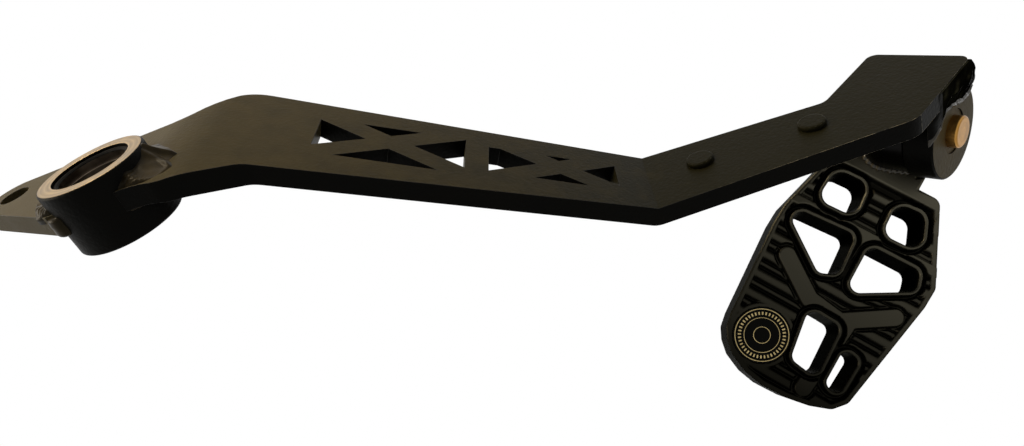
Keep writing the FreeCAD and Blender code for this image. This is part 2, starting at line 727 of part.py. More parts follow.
def foot_pad():
    """Machined pad: grooved field, cross web, forked rib, six rimmed openings and the badge's seat."""
    outline = grown("pad_edge", pad_sketch("pad_outline", on_face(OUTLINE)), "pad_corner")
    blank = slab("pad_blank", outline, "0", "-pad_thick")
    skin = slab("pad_skin", outline, "rim_proud", "-groove_depth")
    field = doc.addObject("Part::Box", "groove_field")
    field.Length, field.Width, field.Height = worth("3 * pad_half"), worth("pad_end"), worth("groove_depth * 2")
    field.Placement = FreeCAD.Placement(
        V(-worth("1.5 * pad_half"), worth("field_start"), -worth("groove_depth")), FreeCAD.Rotation())
    sunk = joined("Part::Cut", "sunk_field", blank, [field])
    level = worth("web_level / pad_end")
    web = bar("cross_web", ((-1.0, level), (1.0, level)), "web_width", "0", "-groove_depth")
    web += bar("bridge", BRIDGE, "web_width", "0", "-groove_depth")
    land = doc.addObject("Part::Box", "corner_land")
    land.setExpression("Length", cells("pad_half"))
    land.setExpression("Width", cells("ridge_pitch"))
    land.setExpression("Height", cells("groove_depth"))
    land.Placement = FreeCAD.Placement(
        V(-worth("1.6 * pad_half"), worth("field_start"), -worth("groove_depth")), FreeCAD.Rotation())
    fork = [land]
    for number, line in enumerate(FORK):
        fork += bar("fork_%d" % number, line, "branch_width", "0", "-groove_depth")
    seat = doc.addObject("Part::Cylinder", "badge_boss")
    seat.setExpression("Radius", cells("badge_radius + badge_rim"))
    seat.setExpression("Height", cells("groove_depth - ridge_low"))
    seat.Placement = FreeCAD.Placement(
        V(worth("badge_side"), worth("badge_level"), -worth("groove_depth")), FreeCAD.Rotation())
    relief = joined("Part::MultiFuse", "raised_relief", web[0], web[1:] + fork + ridges() + [seat])
    trimmed = joined("Part::MultiCommon", "trimmed_relief", relief, [skin])
    face = joined("Part::MultiFuse", "pad_face", sunk, [trimmed])
    moats, rims, holes = [], [], []
    for name, radius, corners in OPENINGS:
        core = pad_sketch(name, on_face(corners))
        moat = grown(name + "_moat", core, "%.3f * pad_half + rim_width + moat_width" % radius)
        rim = grown(name + "_rim", core, "%.3f * pad_half + rim_width" % radius)
        hole = grown(name + "_hole", core, "%.3f * pad_half" % radius)
        moats.append(slab(name + "_moat_cut", moat, "2 * rim_proud", "-moat_depth"))
        rims.append(slab(name + "_rim_wall", rim, "rim_proud", "-moat_depth"))
        holes.append(slab(name + "_hole_cut", hole, "2 * rim_proud", "-2 * pad_thick"))
    moated = joined("Part::Cut", "moated_face", face, moats)
    rimmed = joined("Part::MultiFuse", "rimmed_face", moated, rims)
    pocket = doc.addObject("Part::Cylinder", "badge_pocket")
    pocket.setExpression("Radius", cells("badge_radius"))
    pocket.setExpression("Height", cells("pad_thick"))
    pocket.Placement = FreeCAD.Placement(
        V(worth("badge_side"), worth("badge_level"), -worth("ridge_low + badge_thick")), FreeCAD.Rotation())
    pierced = joined("Part::Cut", "pierced_pad", rimmed, holes + [pocket])
    pierced.Placement = pad_frame()
    frame = swivel_frame()
    trough = doc.addObject("Part::Cylinder", "flange_trough")
    trough.setExpression("Radius", cells("flange_radius + trough_gap"))
    trough.setExpression("Height", cells("flange_length + washer_thick + 3 * flange_radius"))
    trough.Placement = frame * FreeCAD.Placement(V(0, 0, -worth("flange_length + washer_thick")), FreeCAD.Rotation())
    saddle = doc.addObject("Part::Cylinder", "knuckle_saddle")
    saddle.setExpression("Radius", cells("knuckle_radius"))
    saddle.setExpression("Height", cells("3 * knuckle_length"))
    saddle.Placement = frame * FreeCAD.Placement(
        V(0, 0, -worth("flange_length + washer_thick + 3 * knuckle_length")), FreeCAD.Rotation())
    pad = joined("Part::Cut", "foot_pad", pierced, [trough, saddle])
    pad.Label = "foot_pad"
    return pad


def pad_badge():
    """Plain disc let into the face."""
    disc = doc.addObject("Part::Cylinder", "pad_badge")
    disc.Label = "pad_badge"
    disc.setExpression("Radius", cells("badge_radius"))
    disc.setExpression("Height", cells("badge_thick"))
    spot = V(worth("badge_side"), worth("badge_level"), -worth("ridge_low + badge_thick"))
    disc.Placement = pad_frame() * FreeCAD.Placement(spot, FreeCAD.Rotation())
    doc.recompute()
    return disc


def knuckle_weld():
    """Bead round the knuckle where it stands on the pad's neck."""
    frame = swivel_frame()
    band = doc.addObject("Part::Cylinder", "bead_band")
    band.setExpression("Radius", cells("knuckle_radius + ring_width"))
    band.setExpression("Height", cells("knuckle_length - edge_break"))
    band.Placement = frame * FreeCAD.Placement(
        V(0, 0, -worth("flange_length + washer_thick + knuckle_length")), FreeCAD.Rotation())
    core = doc.addObject("Part::Cylinder", "bead_core")
    core.setExpression("Radius", cells("knuckle_radius"))
    core.setExpression("Height", cells("2 * knuckle_length"))
    core.Placement = frame * FreeCAD.Placement(
        V(0, 0, -worth("flange_length + washer_thick + 1.5 * knuckle_length")), FreeCAD.Rotation())
    layer = doc.addObject("Part::Box", "bead_layer")
    layer.setExpression("Length", cells("2 * knuckle_radius"))
    layer.setExpression("Width", cells("2 * knuckle_radius"))
    layer.setExpression("Height", cells("ring_width"))
    corner = V(-worth("pad_shoulder / 2"), worth("pad_shoulder / 2"), 0)
    layer.Placement = pad_frame() * FreeCAD.Placement(corner, FreeCAD.Rotation())
    bead = joined("Part::MultiCommon", "bead_ring", band, [layer])
    weld = joined("Part::Cut", "knuckle_weld", bead, [core])
    weld.Label = "knuckle_weld"
    return weld


# Edge of the weld's patch on the flange's face, in parts of the flange's radius.
PATCH = [(-1.16, 1.0), (-1.04, 0.35), (-0.78, 0.45), (-0.46, 0.70), (0.0, 0.59), (0.42, 0.45), (0.76, 0.47),
         (1.0, 0.62), (0.92, 0.84), (0.58, 1.0)]


def flange_weld():
    """Weld that fills the corner under the plate along the flange and laps over the flange's face."""
    profile = doc.addObject("Sketcher::SketchObject", "flange_weld_side")
    polygon(profile, [
        ("flange_radius - flange_weld_reach", "-flange_length"), ("flange_radius", "-flange_length"),
        ("flange_radius", "end_gap"), ("flange_radius - flange_weld_reach", "end_gap")])
    fill = slab("flange_weld_fill", profile, "flange_weld_half", "-flange_weld_half")
    turn = FreeCAD.Rotation(V(0, 1, 0), V(0, 0, 1), V(1, 0, 0), "ZXY")
    fill.Placement = swivel_frame() * FreeCAD.Placement(V(0, 0, 0), turn)
    edge = pad_sketch("flange_weld_edge", [("%.3f * flange_radius" % x, "%.3f * flange_radius" % y) for x, y in PATCH])
    patch = slab("flange_weld_patch", edge, "flange_weld_proud", "-end_gap")
    patch.Placement = swivel_frame()
    rim = doc.addObject("Part::Cylinder", "flange_rim")
    rim.setExpression("Radius", cells("flange_radius"))
    rim.setExpression("Height", cells("2 * flange_length"))
    rim.Placement = swivel_frame() * FreeCAD.Placement(V(0, 0, -worth("2 * flange_length")), FreeCAD.Rotation())
    both = joined("Part::MultiFuse", "flange_weld_metal", fill, [patch])
    weld = joined("Part::Cut", "flange_weld", both, [rim])
    weld.Label = "flange_weld"
    return weld


arm = pedal_arm()
pieces = [arm] + pivot_group(arm)
pieces += [stud("stud_rear", STUD_X), stud("stud_front", STUD_X + " + stud_pitch")]
pieces += [end_flange(), lock_button(), button_seal(), thrust_washer(), swivel_knuckle(), lock_balls(),
           button_spring(), foot_pad(), pad_badge(), knuckle_weld(), flange_weld()]
doc.recompute()
for item in doc.Objects:
    if "Invalid" in item.State or "Error" in item.State:
        raise ValueError(item.Label + " failed")
os.makedirs("parts", exist_ok=True)
for piece in pieces:
    shape = piece.Shape
    if shape.isNull() or not shape.isValid():
        raise ValueError(piece.Label + " has no valid shape")
    shape.exportStep("parts/%s.step" % piece.Label)
    print("%-20s %8.1f mm3, %d solid" % (piece.Label, shape.Volume, len(shape.Solids)))
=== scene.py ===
# Rear brake pedal: coat, bare metal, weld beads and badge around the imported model
import math
import bmesh
import bpy
import numpy as np
from mathutils import Matrix, Vector


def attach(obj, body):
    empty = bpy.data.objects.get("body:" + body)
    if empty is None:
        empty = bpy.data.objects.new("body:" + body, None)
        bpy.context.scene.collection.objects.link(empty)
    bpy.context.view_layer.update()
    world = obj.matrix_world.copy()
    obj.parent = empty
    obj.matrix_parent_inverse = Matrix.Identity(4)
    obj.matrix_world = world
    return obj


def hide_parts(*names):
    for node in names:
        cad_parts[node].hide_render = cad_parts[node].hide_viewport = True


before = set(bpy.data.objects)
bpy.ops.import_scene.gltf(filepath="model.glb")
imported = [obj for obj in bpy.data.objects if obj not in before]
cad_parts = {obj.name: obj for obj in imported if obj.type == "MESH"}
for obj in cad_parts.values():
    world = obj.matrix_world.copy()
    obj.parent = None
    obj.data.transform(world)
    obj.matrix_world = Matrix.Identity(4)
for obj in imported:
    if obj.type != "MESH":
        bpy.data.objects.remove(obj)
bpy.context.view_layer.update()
print("frame:", len(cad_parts), "solids")

mm = 0.001
# Swivel's axis, as its turn from X towards Z in degrees, and the centre of the flange's face in mm
swivel = {"angle": 46.0, "face": (197.3268, -72.15, -29.1582)}
# Pad's turns in degrees, and how far its face lies below and beside the flange's centre in mm
pad = {"tilt": 49.5, "yaw": 4.56, "ridge": 46.72, "drop": 10.45, "side": 4.5}


# Origin in the flange's face, Z along the swivel axis, Y along the pivot axis
def swivelFrame():
    turn = math.radians(swivel["angle"])
    axis = np.array([math.cos(turn), 0, math.sin(turn)])
    side = np.array([0.0, 1.0, 0.0])
    return np.array([np.cross(side, axis), side, axis]).T, np.array(swivel["face"])


# Origin on the pad's face under the swivel, Z out of the face, X along the ridges
def padFrame():
    tilt, yaw, turn = (math.radians(pad[k]) for k in ("tilt", "yaw", "ridge"))
    normal = np.array([math.sin(yaw), math.cos(tilt) * math.cos(yaw), math.sin(tilt) * math.cos(yaw)])
    forward = np.array([1.0, 0, 0]) - normal * normal[0]
    forward /= np.linalg.norm(forward)
    upward = np.cross(forward, normal)
    upward = upward if upward[2] > 0 else -upward
    ridge = forward * math.cos(turn) + upward * math.sin(turn)
    across = upward * math.cos(turn) - forward * math.sin(turn)
    base = np.array(swivel["face"]) - normal * pad["drop"] - ridge * pad["side"]
    return np.array([-ridge, across, normal]).T, base


# Points in millimetres of a local frame, to millimetres of the row frame
def placed(points, place):
    turn, base = place
    return np.asarray(points, float) @ turn.T + base


# Merges doubles closer than a distance in mm, then turns all faces outward
def closeUp(mesh, merge=0.0001):
    work = bmesh.new()
    work.from_mesh(mesh)
    bmesh.ops.remove_doubles(work, verts=work.verts, dist=merge * mm)
    bmesh.ops.recalc_face_normals(work, faces=work.faces)
    work.to_mesh(mesh)
    work.free()


# Object at the origin, shaded smooth, in the scene
def newPiece(name, mesh):
    mesh.polygons.foreach_set("use_smooth", np.ones(len(mesh.polygons), dtype=bool))
    piece = bpy.data.objects.new(name, mesh)
    bpy.context.scene.collection.objects.link(piece)
    return piece


# One mesh from tubes of points: rows run along each, columns round it, and each end closes in a pole
def tubesMesh(name, tubes, slots=None):
    points, faces, count = [], [], 0
    for tube in tubes:
        poles = [np.repeat(end.mean(axis=0)[None, None], tube.shape[1], axis=1)
                 for end in (tube[0], tube[-1])]
        tube = np.concatenate([poles[0], tube, poles[1]])
        rows, cols = tube.shape[:2]
        r, c = [a.ravel() for a in np.meshgrid(np.arange(rows - 1), np.arange(cols), indexing="ij")]
        c1 = (c + 1) % cols
        quads = [r * cols + c, (r + 1) * cols + c, (r + 1) * cols + c1, r * cols + c1]
        faces.append(np.stack(quads, axis=1) + count)
        points.append(tube.reshape(-1, 3))
        count += rows * cols
    mesh = bpy.data.meshes.new(name)
    mesh.from_pydata((np.concatenate(points) * mm).tolist(), [], np.concatenate(faces).tolist())
    if slots is not None:
        mesh.polygons.foreach_set("material_index", slots)
    closeUp(mesh)
    return newPiece(name, mesh)


# Copies of the solids, in mm and degrees: merging distance, angle below which faces join and above which an
# edge is rounded; how near to its place a corner's edge is found, and the steps of its rounding; least part
# of a normal along the axis on an end face, most of it along Y on a side face, and where the ear ends
edging = {"merge": 0.002, "joined": 0.6, "rounded": 25.0, "found": 0.05, "steps": 8,
          "endFacing": 0.97, "sideFacing": 0.35, "earEnd": -7.0}


# Copy of a CAD node with its triangles merged, its sharp edges rounded and its flats kept flat in the
# shading. Slot 1 is for faces square to the end axis. With corners (edges along Y: x, z and reach in mm),
# slot 1 is for the rounded edges, and slot 2 for sides and walls of openings forward of the ear, which
# take painted shade: a nearly black copy of the coat.
def edged(node, width, corners=(), endAxis=None):
    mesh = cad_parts[node].data.copy()
    mesh.name = node + "_edged"
    work = bmesh.new()
    work.from_mesh(mesh)
    bmesh.ops.remove_doubles(work, verts=work.verts, dist=edging["merge"] * mm)
    bmesh.ops.dissolve_limit(work, angle_limit=math.radians(edging["joined"]), verts=work.verts,
                             edges=work.edges)
    for x, z, reach in corners:
        hit = [edge for edge in work.edges if all(
            math.hypot(v.co.x - x * mm, v.co.z - z * mm) < edging["found"] * mm for v in edge.verts)]
        bmesh.ops.bevel(work, geom=hit, offset=reach * mm, segments=edging["steps"], profile=0.5,
                        affect="EDGES", clamp_overlap=True)
    work.to_mesh(mesh)
    work.free()
    count = len(mesh.polygons)
    slots = np.zeros(count, dtype=np.int32)
    centre, normal = np.zeros(count * 3), np.zeros(count * 3)
    mesh.polygons.foreach_get("center", centre)
    mesh.polygons.foreach_get("normal", normal)
    if endAxis is not None:
        slots[np.abs(normal.reshape(-1, 3) @ endAxis) > edging["endFacing"]] = 1
    if corners:
        slots[(centre[::3] > edging["earEnd"] * mm) & (np.abs(normal[1::3]) < edging["sideFacing"])] = 2
    mesh.polygons.foreach_set("material_index", slots)
    piece = newPiece(node + "_edged", mesh)
    bevel = piece.modifiers.new("edges", "BEVEL")
    bevel.width = width * mm
    bevel.segments = 2
    bevel.limit_method = "ANGLE"
    bevel.angle_limit = math.radians(edging["rounded"])
    bevel.use_clamp_overlap = True
    if corners:
        bevel.material = 1
    piece.modifiers.new("flats", "WEIGHTED_NORMAL").keep_sharp = False
    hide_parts(node)
    return piece


# sRGB hex value to linear RGBA: c / 12.92 up to 0.04045, and ((c + 0.055) / 1.055)^2.4 above
def colour(text):
    parts = [int(text[i:i + 2], 16) / 255 for i in (1, 3, 5)]
    return tuple(c / 12.92 if c <= 0.04045 else ((c + 0.055) / 1.055) ** 2.4 for c in parts) + (1.0,)


# One node of a material or the world, with its settings and its links (from node, socket, to socket)
def addNode(owner, kind, links=(), **settings):
    node = owner.node_tree.nodes.new(kind)
    for key, value in settings.items():
        name = key.replace("_", " ")
        if name in node.inputs:
            node.inputs[name].default_value = value
        else:
            setattr(node, key, value)
    for source, out, into in links:
        owner.node_tree.links.new(source.outputs[out], node.inputs[into])
    return node


# Link from one node's output to another's input
def join(owner, source, out, target, into):
    owner.node_tree.links.new(source.outputs[out], target.inputs[into])


# A material with its shader's own values, and the link that brings Object coordinates to a pattern
def newMaterial(name, **surface):
    material = bpy.data.materials.new(name)
    material.use_nodes = True
    shader = material.node_tree.nodes["Principled BSDF"]
    for key, value in surface.items():
        shader.inputs[key.replace("_", " ")].default_value = value
    return material, shader, (addNode(material, "ShaderNodeTexCoord"), "Object", "Vector")


# Colour over a value, in straight lines between stops of (value, hex colour)
def ramp(material, source, out, stops):
    node = addNode(material, "ShaderNodeValToRGB", [(source, out, "Fac")])
    while len(node.color_ramp.elements) < len(stops):
        node.color_ramp.elements.new(0.5)
    for element, (at, shade) in zip(node.color_ramp.elements, stops):
        element.position = at
        element.color = colour(shade)
    return node


# Powder-coated steel: baked satin polymer, warm black, low gloss head-on and a grey sheen at a flat angle.
# Its orange peel is about 0.5 mm across on the real one, drawn 0.9 mm so that it shows; its clouds are
# about 8 mm. Given a run along X, it grows paler from the first place to the second (metres): painted
# light, standing in for the lamps' light being stronger towards the rear. With an edge tint it's drawn as a
# very dark metal, whose reflection at a flat angle stays as dark as the tint.
def powderCoat(name, deep, light, roughness=0.42, level=0.03, peelDepth=0.00022, wearAndPaintedLight=None, edgeTint=None):
    if edgeTint:
        sheen = {"Metallic": 1.0, "Specular_Tint": colour(edgeTint)}
    else:
        sheen = {"Specular_IOR_Level": level}
    material, shader, here = newMaterial(name, Roughness=roughness, **sheen)
    cloud = addNode(material, "ShaderNodeTexNoise", [here], Scale=120.0, Detail=5.0, Roughness=0.6)
    source, out = cloud, "Fac"
    # Painted light: the coat grows paler towards the rear, mixed into its clouds
    if wearAndPaintedLight:
        apart = addNode(material, "ShaderNodeSeparateXYZ", [here])
        along = addNode(material, "ShaderNodeMapRange", [(apart, "X", "Value")],
                        From_Min=wearAndPaintedLight[0], From_Max=wearAndPaintedLight[1])
        source = addNode(material, "ShaderNodeMix", [(cloud, "Fac", "A"), (along, "Result", "B")],
                         Factor=0.65)
        out = "Result"
    tint = ramp(material, source, out, [(0.3, deep), (0.72, light)])
    join(material, tint, "Color", shader, "Base Color")
    peel = addNode(material, "ShaderNodeTexNoise", [here], Scale=1100.0, Detail=2.0)
    bump = addNode(material, "ShaderNodeBump", [(peel, "Fac", "Height")], Strength=0.5, Distance=peelDepth)
    join(material, bump, "Normal", shader, "Normal")
    shine = addNode(material, "ShaderNodeMapRange", [(cloud, "Fac", "Value")],
                    To_Min=roughness - 0.06, To_Max=roughness + 0.08)
    join(material, shine, "Result", shader, "Roughness")
    return material


# The same coat on rounded edges: worn thin to bare steel in stretches of about 2 mm on the front third;
# the pale spots also paint the highlight line along these edges
def glintAndWornCoat(name, deep, bare):
    material, shader, here = newMaterial(name, Roughness=0.45, Specular_IOR_Level=0.2)
    apart = addNode(material, "ShaderNodeSeparateXYZ", [here])
    front = addNode(material, "ShaderNodeMapRange", [(apart, "X", "Value")], From_Min=0.125, From_Max=0.165)
    wearAndPaintedLight = addNode(material, "ShaderNodeTexNoise", [here], Scale=420.0, Detail=3.0)
    spots = addNode(material, "ShaderNodeMapRange", [(wearAndPaintedLight, "Fac", "Value")], From_Min=0.42, From_Max=0.6)
    both = addNode(material, "ShaderNodeMath", [(front, "Result", 0), (spots, "Result", 1)],
                   operation="MULTIPLY")
    tint = ramp(material, both, "Value", [(0.0, deep), (1.0, bare)])
    join(material, tint, "Color", shader, "Base Color")
    return material


# Turned metal: rings about an axis, from the distance to it, 0.1 mm apart on the real one and drawn 0.35 mm,
# with stains of about 4 mm
def turnedMetal(name, deep, light, centre, turn, roughness=0.32, metallic=1.0):
    material, shader, here = newMaterial(name, Metallic=metallic, Roughness=roughness,
                                         Specular_IOR_Level=0.1)
    place = addNode(material, "ShaderNodeMapping", [here], vector_type="TEXTURE",
                    Location=tuple(c * mm for c in centre), Rotation=turn)
    flat = addNode(material, "ShaderNodeVectorMath", [(place, "Vector", 0)], operation="MULTIPLY")
    flat.inputs[1].default_value = (1, 1, 0)
    reach = addNode(material, "ShaderNodeVectorMath", [(flat, "Vector", 0)], operation="LENGTH")
    lines = addNode(material, "ShaderNodeTexNoise", [(reach, "Value", "W")], noise_dimensions="1D",
                    Scale=1000.0 / 0.35 / 2, Detail=3.0)
    stain = addNode(material, "ShaderNodeTexNoise", [here], Scale=260.0, Detail=4.0)
    blend = addNode(material, "ShaderNodeMath", [(lines, "Fac", 0), (stain, "Fac", 1)], operation="ADD")
    half = addNode(material, "ShaderNodeMath", [(blend, "Value", 0)], operation="MULTIPLY")
    half.inputs[1].default_value = 0.5
    tint = ramp(material, half, "Value", [(0.34, deep), (0.66, light)])
    join(material, tint, "Color", shader, "Base Color")
    bump = addNode(material, "ShaderNodeBump", [(lines, "Fac", "Height")], Strength=0.25, Distance=0.00004)
    join(material, bump, "Normal", shader, "Normal")
    shine = addNode(material, "ShaderNodeMapRange", [(stain, "Fac", "Value")],
                    To_Min=roughness - 0.07, To_Max=roughness + 0.12)
    join(material, shine, "Result", shader, "Roughness")
    return material


# Black anodised, milled aluminium: a dark metal whose dyed film stays dark at a flat angle. Its grain is
# about 0.1 mm on the real one, drawn 0.6 mm. Paler on the lands than in the grooves (Z in the pad's frame):
# wear on the lands and painted shade in the grooves; and paler near the swivel than at the far end (Y):
# painted light falling off along the pad.
def anodised(name, groove, land):
    material, shader, here = newMaterial(name, Metallic=1.0, Roughness=0.42,
                                         Specular_Tint=(0.12, 0.12, 0.1, 1))
    grain = addNode(material, "ShaderNodeTexNoise", [here], Scale=1600.0, Detail=2.0)
    turn, base = padFrame()
    place = addNode(material, "ShaderNodeMapping", [here], vector_type="TEXTURE",
                    Location=tuple(base * mm), Rotation=Matrix(turn.tolist()).to_euler())
    apart = addNode(material, "ShaderNodeSeparateXYZ", [(place, "Vector", "Vector")])
    # Painted shade in the grooves with wear on the lands, then painted light falling off towards the far end
    wearAndPaintedShade = addNode(material, "ShaderNodeMapRange", [(apart, "Z", "Value")], From_Min=-0.0022, From_Max=0.0)
    paintedFalloff = addNode(material, "ShaderNodeMapRange", [(apart, "Y", "Value")],
                  From_Min=0.012, From_Max=0.08, To_Min=1.0, To_Max=0.0)
    both = addNode(material, "ShaderNodeMath", [(wearAndPaintedShade, "Result", 0), (paintedFalloff, "Result", 1)],
                   operation="MULTIPLY")
    tint = ramp(material, both, "Value", [(0.0, groove), (1.0, land)])
    join(material, tint, "Color", shader, "Base Color")
    bump = addNode(material, "ShaderNodeBump", [(grain, "Fac", "Height")], Strength=0.05, Distance=0.00002)
    join(material, bump, "Normal", shader, "Normal")
    return material


# Moulded nitrile rubber: matt, nearly black, with faint mottling of about 1 mm
def sealRubber(name, deep, light):
    material, shader, here = newMaterial(name, Roughness=0.75, Specular_IOR_Level=0.08)
    grain = addNode(material, "ShaderNodeTexNoise", [here], Scale=900.0, Detail=3.0)
    tint = ramp(material, grain, "Fac", [(0.3, deep), (0.7, light)])
    join(material, tint, "Color", shader, "Base Color")
    return material


# Centre and turn of the rings, on what is turned about the pivot and about the swivel
pivot = ((0, 0, 0), (math.radians(90), 0, 0))
lock = (swivel["face"], (0, math.radians(90 - swivel["angle"]), 0))
# Coat on the plate and studs, paler to the rear as painted light; on the sides of the tube, flange and
# plate, a nearly black copy as painted shade; on the flange's face, a pale, dull copy with its sheen
# painted in; and on the plate's rounded edges, worn thin in pale spots that also paint their highlight
coat = powderCoat("satinPowderCoat", "#232113", "#554d36", wearAndPaintedLight=(0.15, -0.02))
paintedShadeCoat = powderCoat("powderCoatPaintedShade", "#080806", "#0e0d09")
paintedSheenFace = powderCoat("flangeFacePaintedSheen", "#655b3e", "#776b4b", 0.4, 0.03)
edgeWearAndPaintedGlint = glintAndWornCoat("edgeCoatWornAndPaintedGlint", "#16140e", "#b5ac92")
# Coat over the welds: glossier than on flat steel; a copy darkened as painted shade for the head's weld,
# which turns from the light; and a paler, glossier copy whose pale tone is a painted highlight
weldCoat = powderCoat("powderCoatedWeld", "#2a2518", "#4a412d", 0.3, 0.05, 0.00006)
paintedShadeWeld = powderCoat("coatedWeldPaintedShade", "#1f1e19", "#3a3930", 0.3, peelDepth=0.00004, edgeTint="#2c2b26")
paintedHighlightBead = powderCoat("weldPaintedHighlight", "#3a3528", "#5a5342", 0.25, 0.3, 0.00004)
# Metals: the tube's ends, turned bare, warm grey; bright brass; oiled bearing metal, brown in its pores;
# the blackened washer; and drawn wire and balls, pale and shiny
ringSteel = turnedMetal("bareTurnedSteel", "#7a684c", "#a18c6a", *pivot, 0.38)
brass = turnedMetal("turnedBrass", "#855f28", "#bb8d4c", *lock, 0.3)
bushSteel = turnedMetal("oiledBearingSteel", "#2c1f14", "#7d7263", *pivot, 0.3)
blackSteel = turnedMetal("blackenedSteel", "#0d0c0b", "#1d1b18", *lock, 0.32, metallic=0.7)
springSteel = turnedMetal("springSteel", "#6e6a5e", "#b9b3a2", *lock, 0.34)
# Milled pad; knuckle under a gloss coat, with small hard highlights; seals; badge of enamel with gilt print
alloy = anodised("blackAnodisedAlloy", "#12110d", "#48453a")
glossCoat = powderCoat("glossBlackKnuckle", "#0a0a08", "#12110d", 0.22, 0.06, 0.00002)
rubber = sealRubber("sealRubber", "#0b0b0b", "#161513")
enamel = powderCoat("blackEnamel", "#0b0b08", "#12110d", 0.25, 0.03, 0.00001)
gilt = turnedMetal("giltPrint", "#8a7a52", "#b5a373", *pivot, 0.4)
print("materials: 17")


# The given materials in slots 0, 1 …, with each face's slot number kept
def paint(piece, *materials):
    slots = np.zeros(len(piece.data.polygons), dtype=np.int32)
    piece.data.polygons.foreach_get("material_index", slots)
    piece.data.materials.clear()
    for material in materials:
        piece.data.materials.append(material)
    piece.data.polygons.foreach_set("material_index", np.minimum(slots, len(materials) - 1))


# The plate's rounded corners, x, z and reach in mm: the head's near and far end, and the waist
plateCorners = [(181.66, -11.9, 7.5), (203.69, -32.94, 2.5), (17.4, 10.4, 2.5)]
pivotAxis, swivelAxis = np.array([0.0, 1.0, 0.0]), swivelFrame()[0][:, 2]
# Pieces from the solids: body, edge width in mm (0: the solid itself), materials by slot, more for edged
finishes = {
    # Plate's sides (slot 2), tube's and flange's flanks (slot 0): a nearly black copy of the coat, painted
    # shade
    "pedal_arm": ("arm", 0.45, [coat, edgeWearAndPaintedGlint, paintedShadeCoat], {"corners": plateCorners}),
    "pivot_hub": ("arm", 0.2, [paintedShadeCoat, ringSteel], {"endAxis": pivotAxis}),
    "pivot_bush": ("arm", 0.15, [bushSteel], {}),
    "stud_rear": ("arm", 0.3, [coat], {}),
    "stud_front": ("arm", 0.3, [coat], {}),
    # Flange's face and the button's seal: a pale copy of the coat with its sheen painted in
    "end_flange": ("arm", 0.12, [paintedShadeCoat, paintedSheenFace], {"endAxis": swivelAxis}),
    "button_seal": ("arm", 0.05, [paintedSheenFace], {}),
    "thrust_washer": ("pad", 0.1, [blackSteel], {}),
    "swivel_knuckle": ("pad", 0.2, [glossCoat], {}),
    "lock_balls": ("pad", 0.0, [springSteel], {}),
    "lock_button": ("button", 0.2, [brass], {}),
    "button_spring": ("button", 0.0, [springSteel], {})}
for name, (body, width, materials, more) in finishes.items():
    if width:
        piece = edged(name, width, **more)
        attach(piece, body)
    else:
        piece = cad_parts[name]
    paint(piece, *materials)
print("pieces from the solids:", len(finishes))


# Ring of one closed outline (radius, height) about the pivot axis, slot by row
def lathed(name, outline, slots, around=96):
    q = np.linspace(0, 2 * math.pi, around, endpoint=False)
    outline = np.array(outline)
    rows = len(outline)
    r, h = outline[:, :1], np.repeat(outline[:, 1:], around, axis=1)
    points = np.stack([r * np.cos(q), h, r * np.sin(q)], axis=-1).reshape(-1, 3)
    i, j = [a.ravel() for a in np.meshgrid(np.arange(rows), np.arange(around), indexing="ij")]
    i1, j1 = (i + 1) % rows, (j + 1) % around
    faces = np.stack([i * around + j, i1 * around + j, i1 * around + j1, i * around + j1], axis=1)
    mesh = bpy.data.meshes.new(name)
    mesh.from_pydata((points * mm).tolist(), [], faces.tolist())
    mesh.polygons.foreach_set("material_index", np.array(slots, dtype=np.int32)[i])
    closeUp(mesh)
    piece = newPiece(name, mesh)
    mesh.set_sharp_from_angle(angle=math.radians(40))
    return piece


# Seals, in mm: a thin rubber lip over a bare steel case, mirrored for the outboard side
seal = {"outer": 9.3, "inner": 8.2, "low": 5.1, "top": 7.3, "lip": 6.85, "rounding": 0.2, "chamfer": 0.35,
        "case": 0.3, "undercut": 0.1}
for node, sign in (("seal_inboard", 1), ("seal_outboard", -1)):
    caseInner = seal["inner"] + seal["case"]
    shape = [(seal["outer"], seal["low"]), (seal["outer"], seal["top"] - seal["rounding"]),
             (seal["outer"] - seal["rounding"], seal["top"]), (seal["inner"] + seal["chamfer"], seal["top"]),
             (seal["inner"], seal["top"] - seal["chamfer"]), (seal["inner"], seal["lip"]),
             (caseInner, seal["lip"] - seal["undercut"]), (caseInner, seal["low"])]
    piece = lathed(node + "_lip", [(r, h * sign) for r, h in shape], [0, 0, 0, 0, 0, 0, 1, 1])
    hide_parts(node)
    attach(piece, "arm")
    paint(piece, rubber, bushSteel)
print("seals: 2")

# The pad's face, in mm of its own frame: forms as in the model, with soft flanks in place of square ones.
# ridge: first, pitch, number. web: middle, half width. groove round the fork: reach, floor, flank. moat:
# reach, inset, flank. seat: x, y, boss, pocket, its floor. cuts: radius and start of the flange's trough,
# and of the spring's bore. merge: joining distance. snap: least distance of a grid place to the edge, in
# steps. upright: most that a wall faces up.
face = {"half": 23.9, "end": 83.2, "corner": 3.0, "step": 0.26, "thick": 14.0, "field": 17.6, "floor": -2.2,
        "ridge": (21.1, 5.8, 11), "ridgeHalf": 1.6, "ridgeTop": -0.3, "ribHalf": 0.85, "ribShare": 0.65,
        "web": (32.3, 1.6), "fork": 2.6, "groove": (0.8, -1.7, 0.35), "landFrom": 0.6, "soft": 0.5,
        "rim": 1.0, "proud": 0.4, "moat": (2.3, 0.2, 0.3), "moatFloor": -2.6, "rail": 1.7, "railTop": -0.3,
        "round": 0.7, "roundShare": 0.7, "seat": (9.8, 70.9, 9.4, 8.0, -1.1),
        "cuts": [(13.8, -8.3), (3.4, -17.2)], "merge": 0.06, "snap": 0.02, "upright": 0.02}
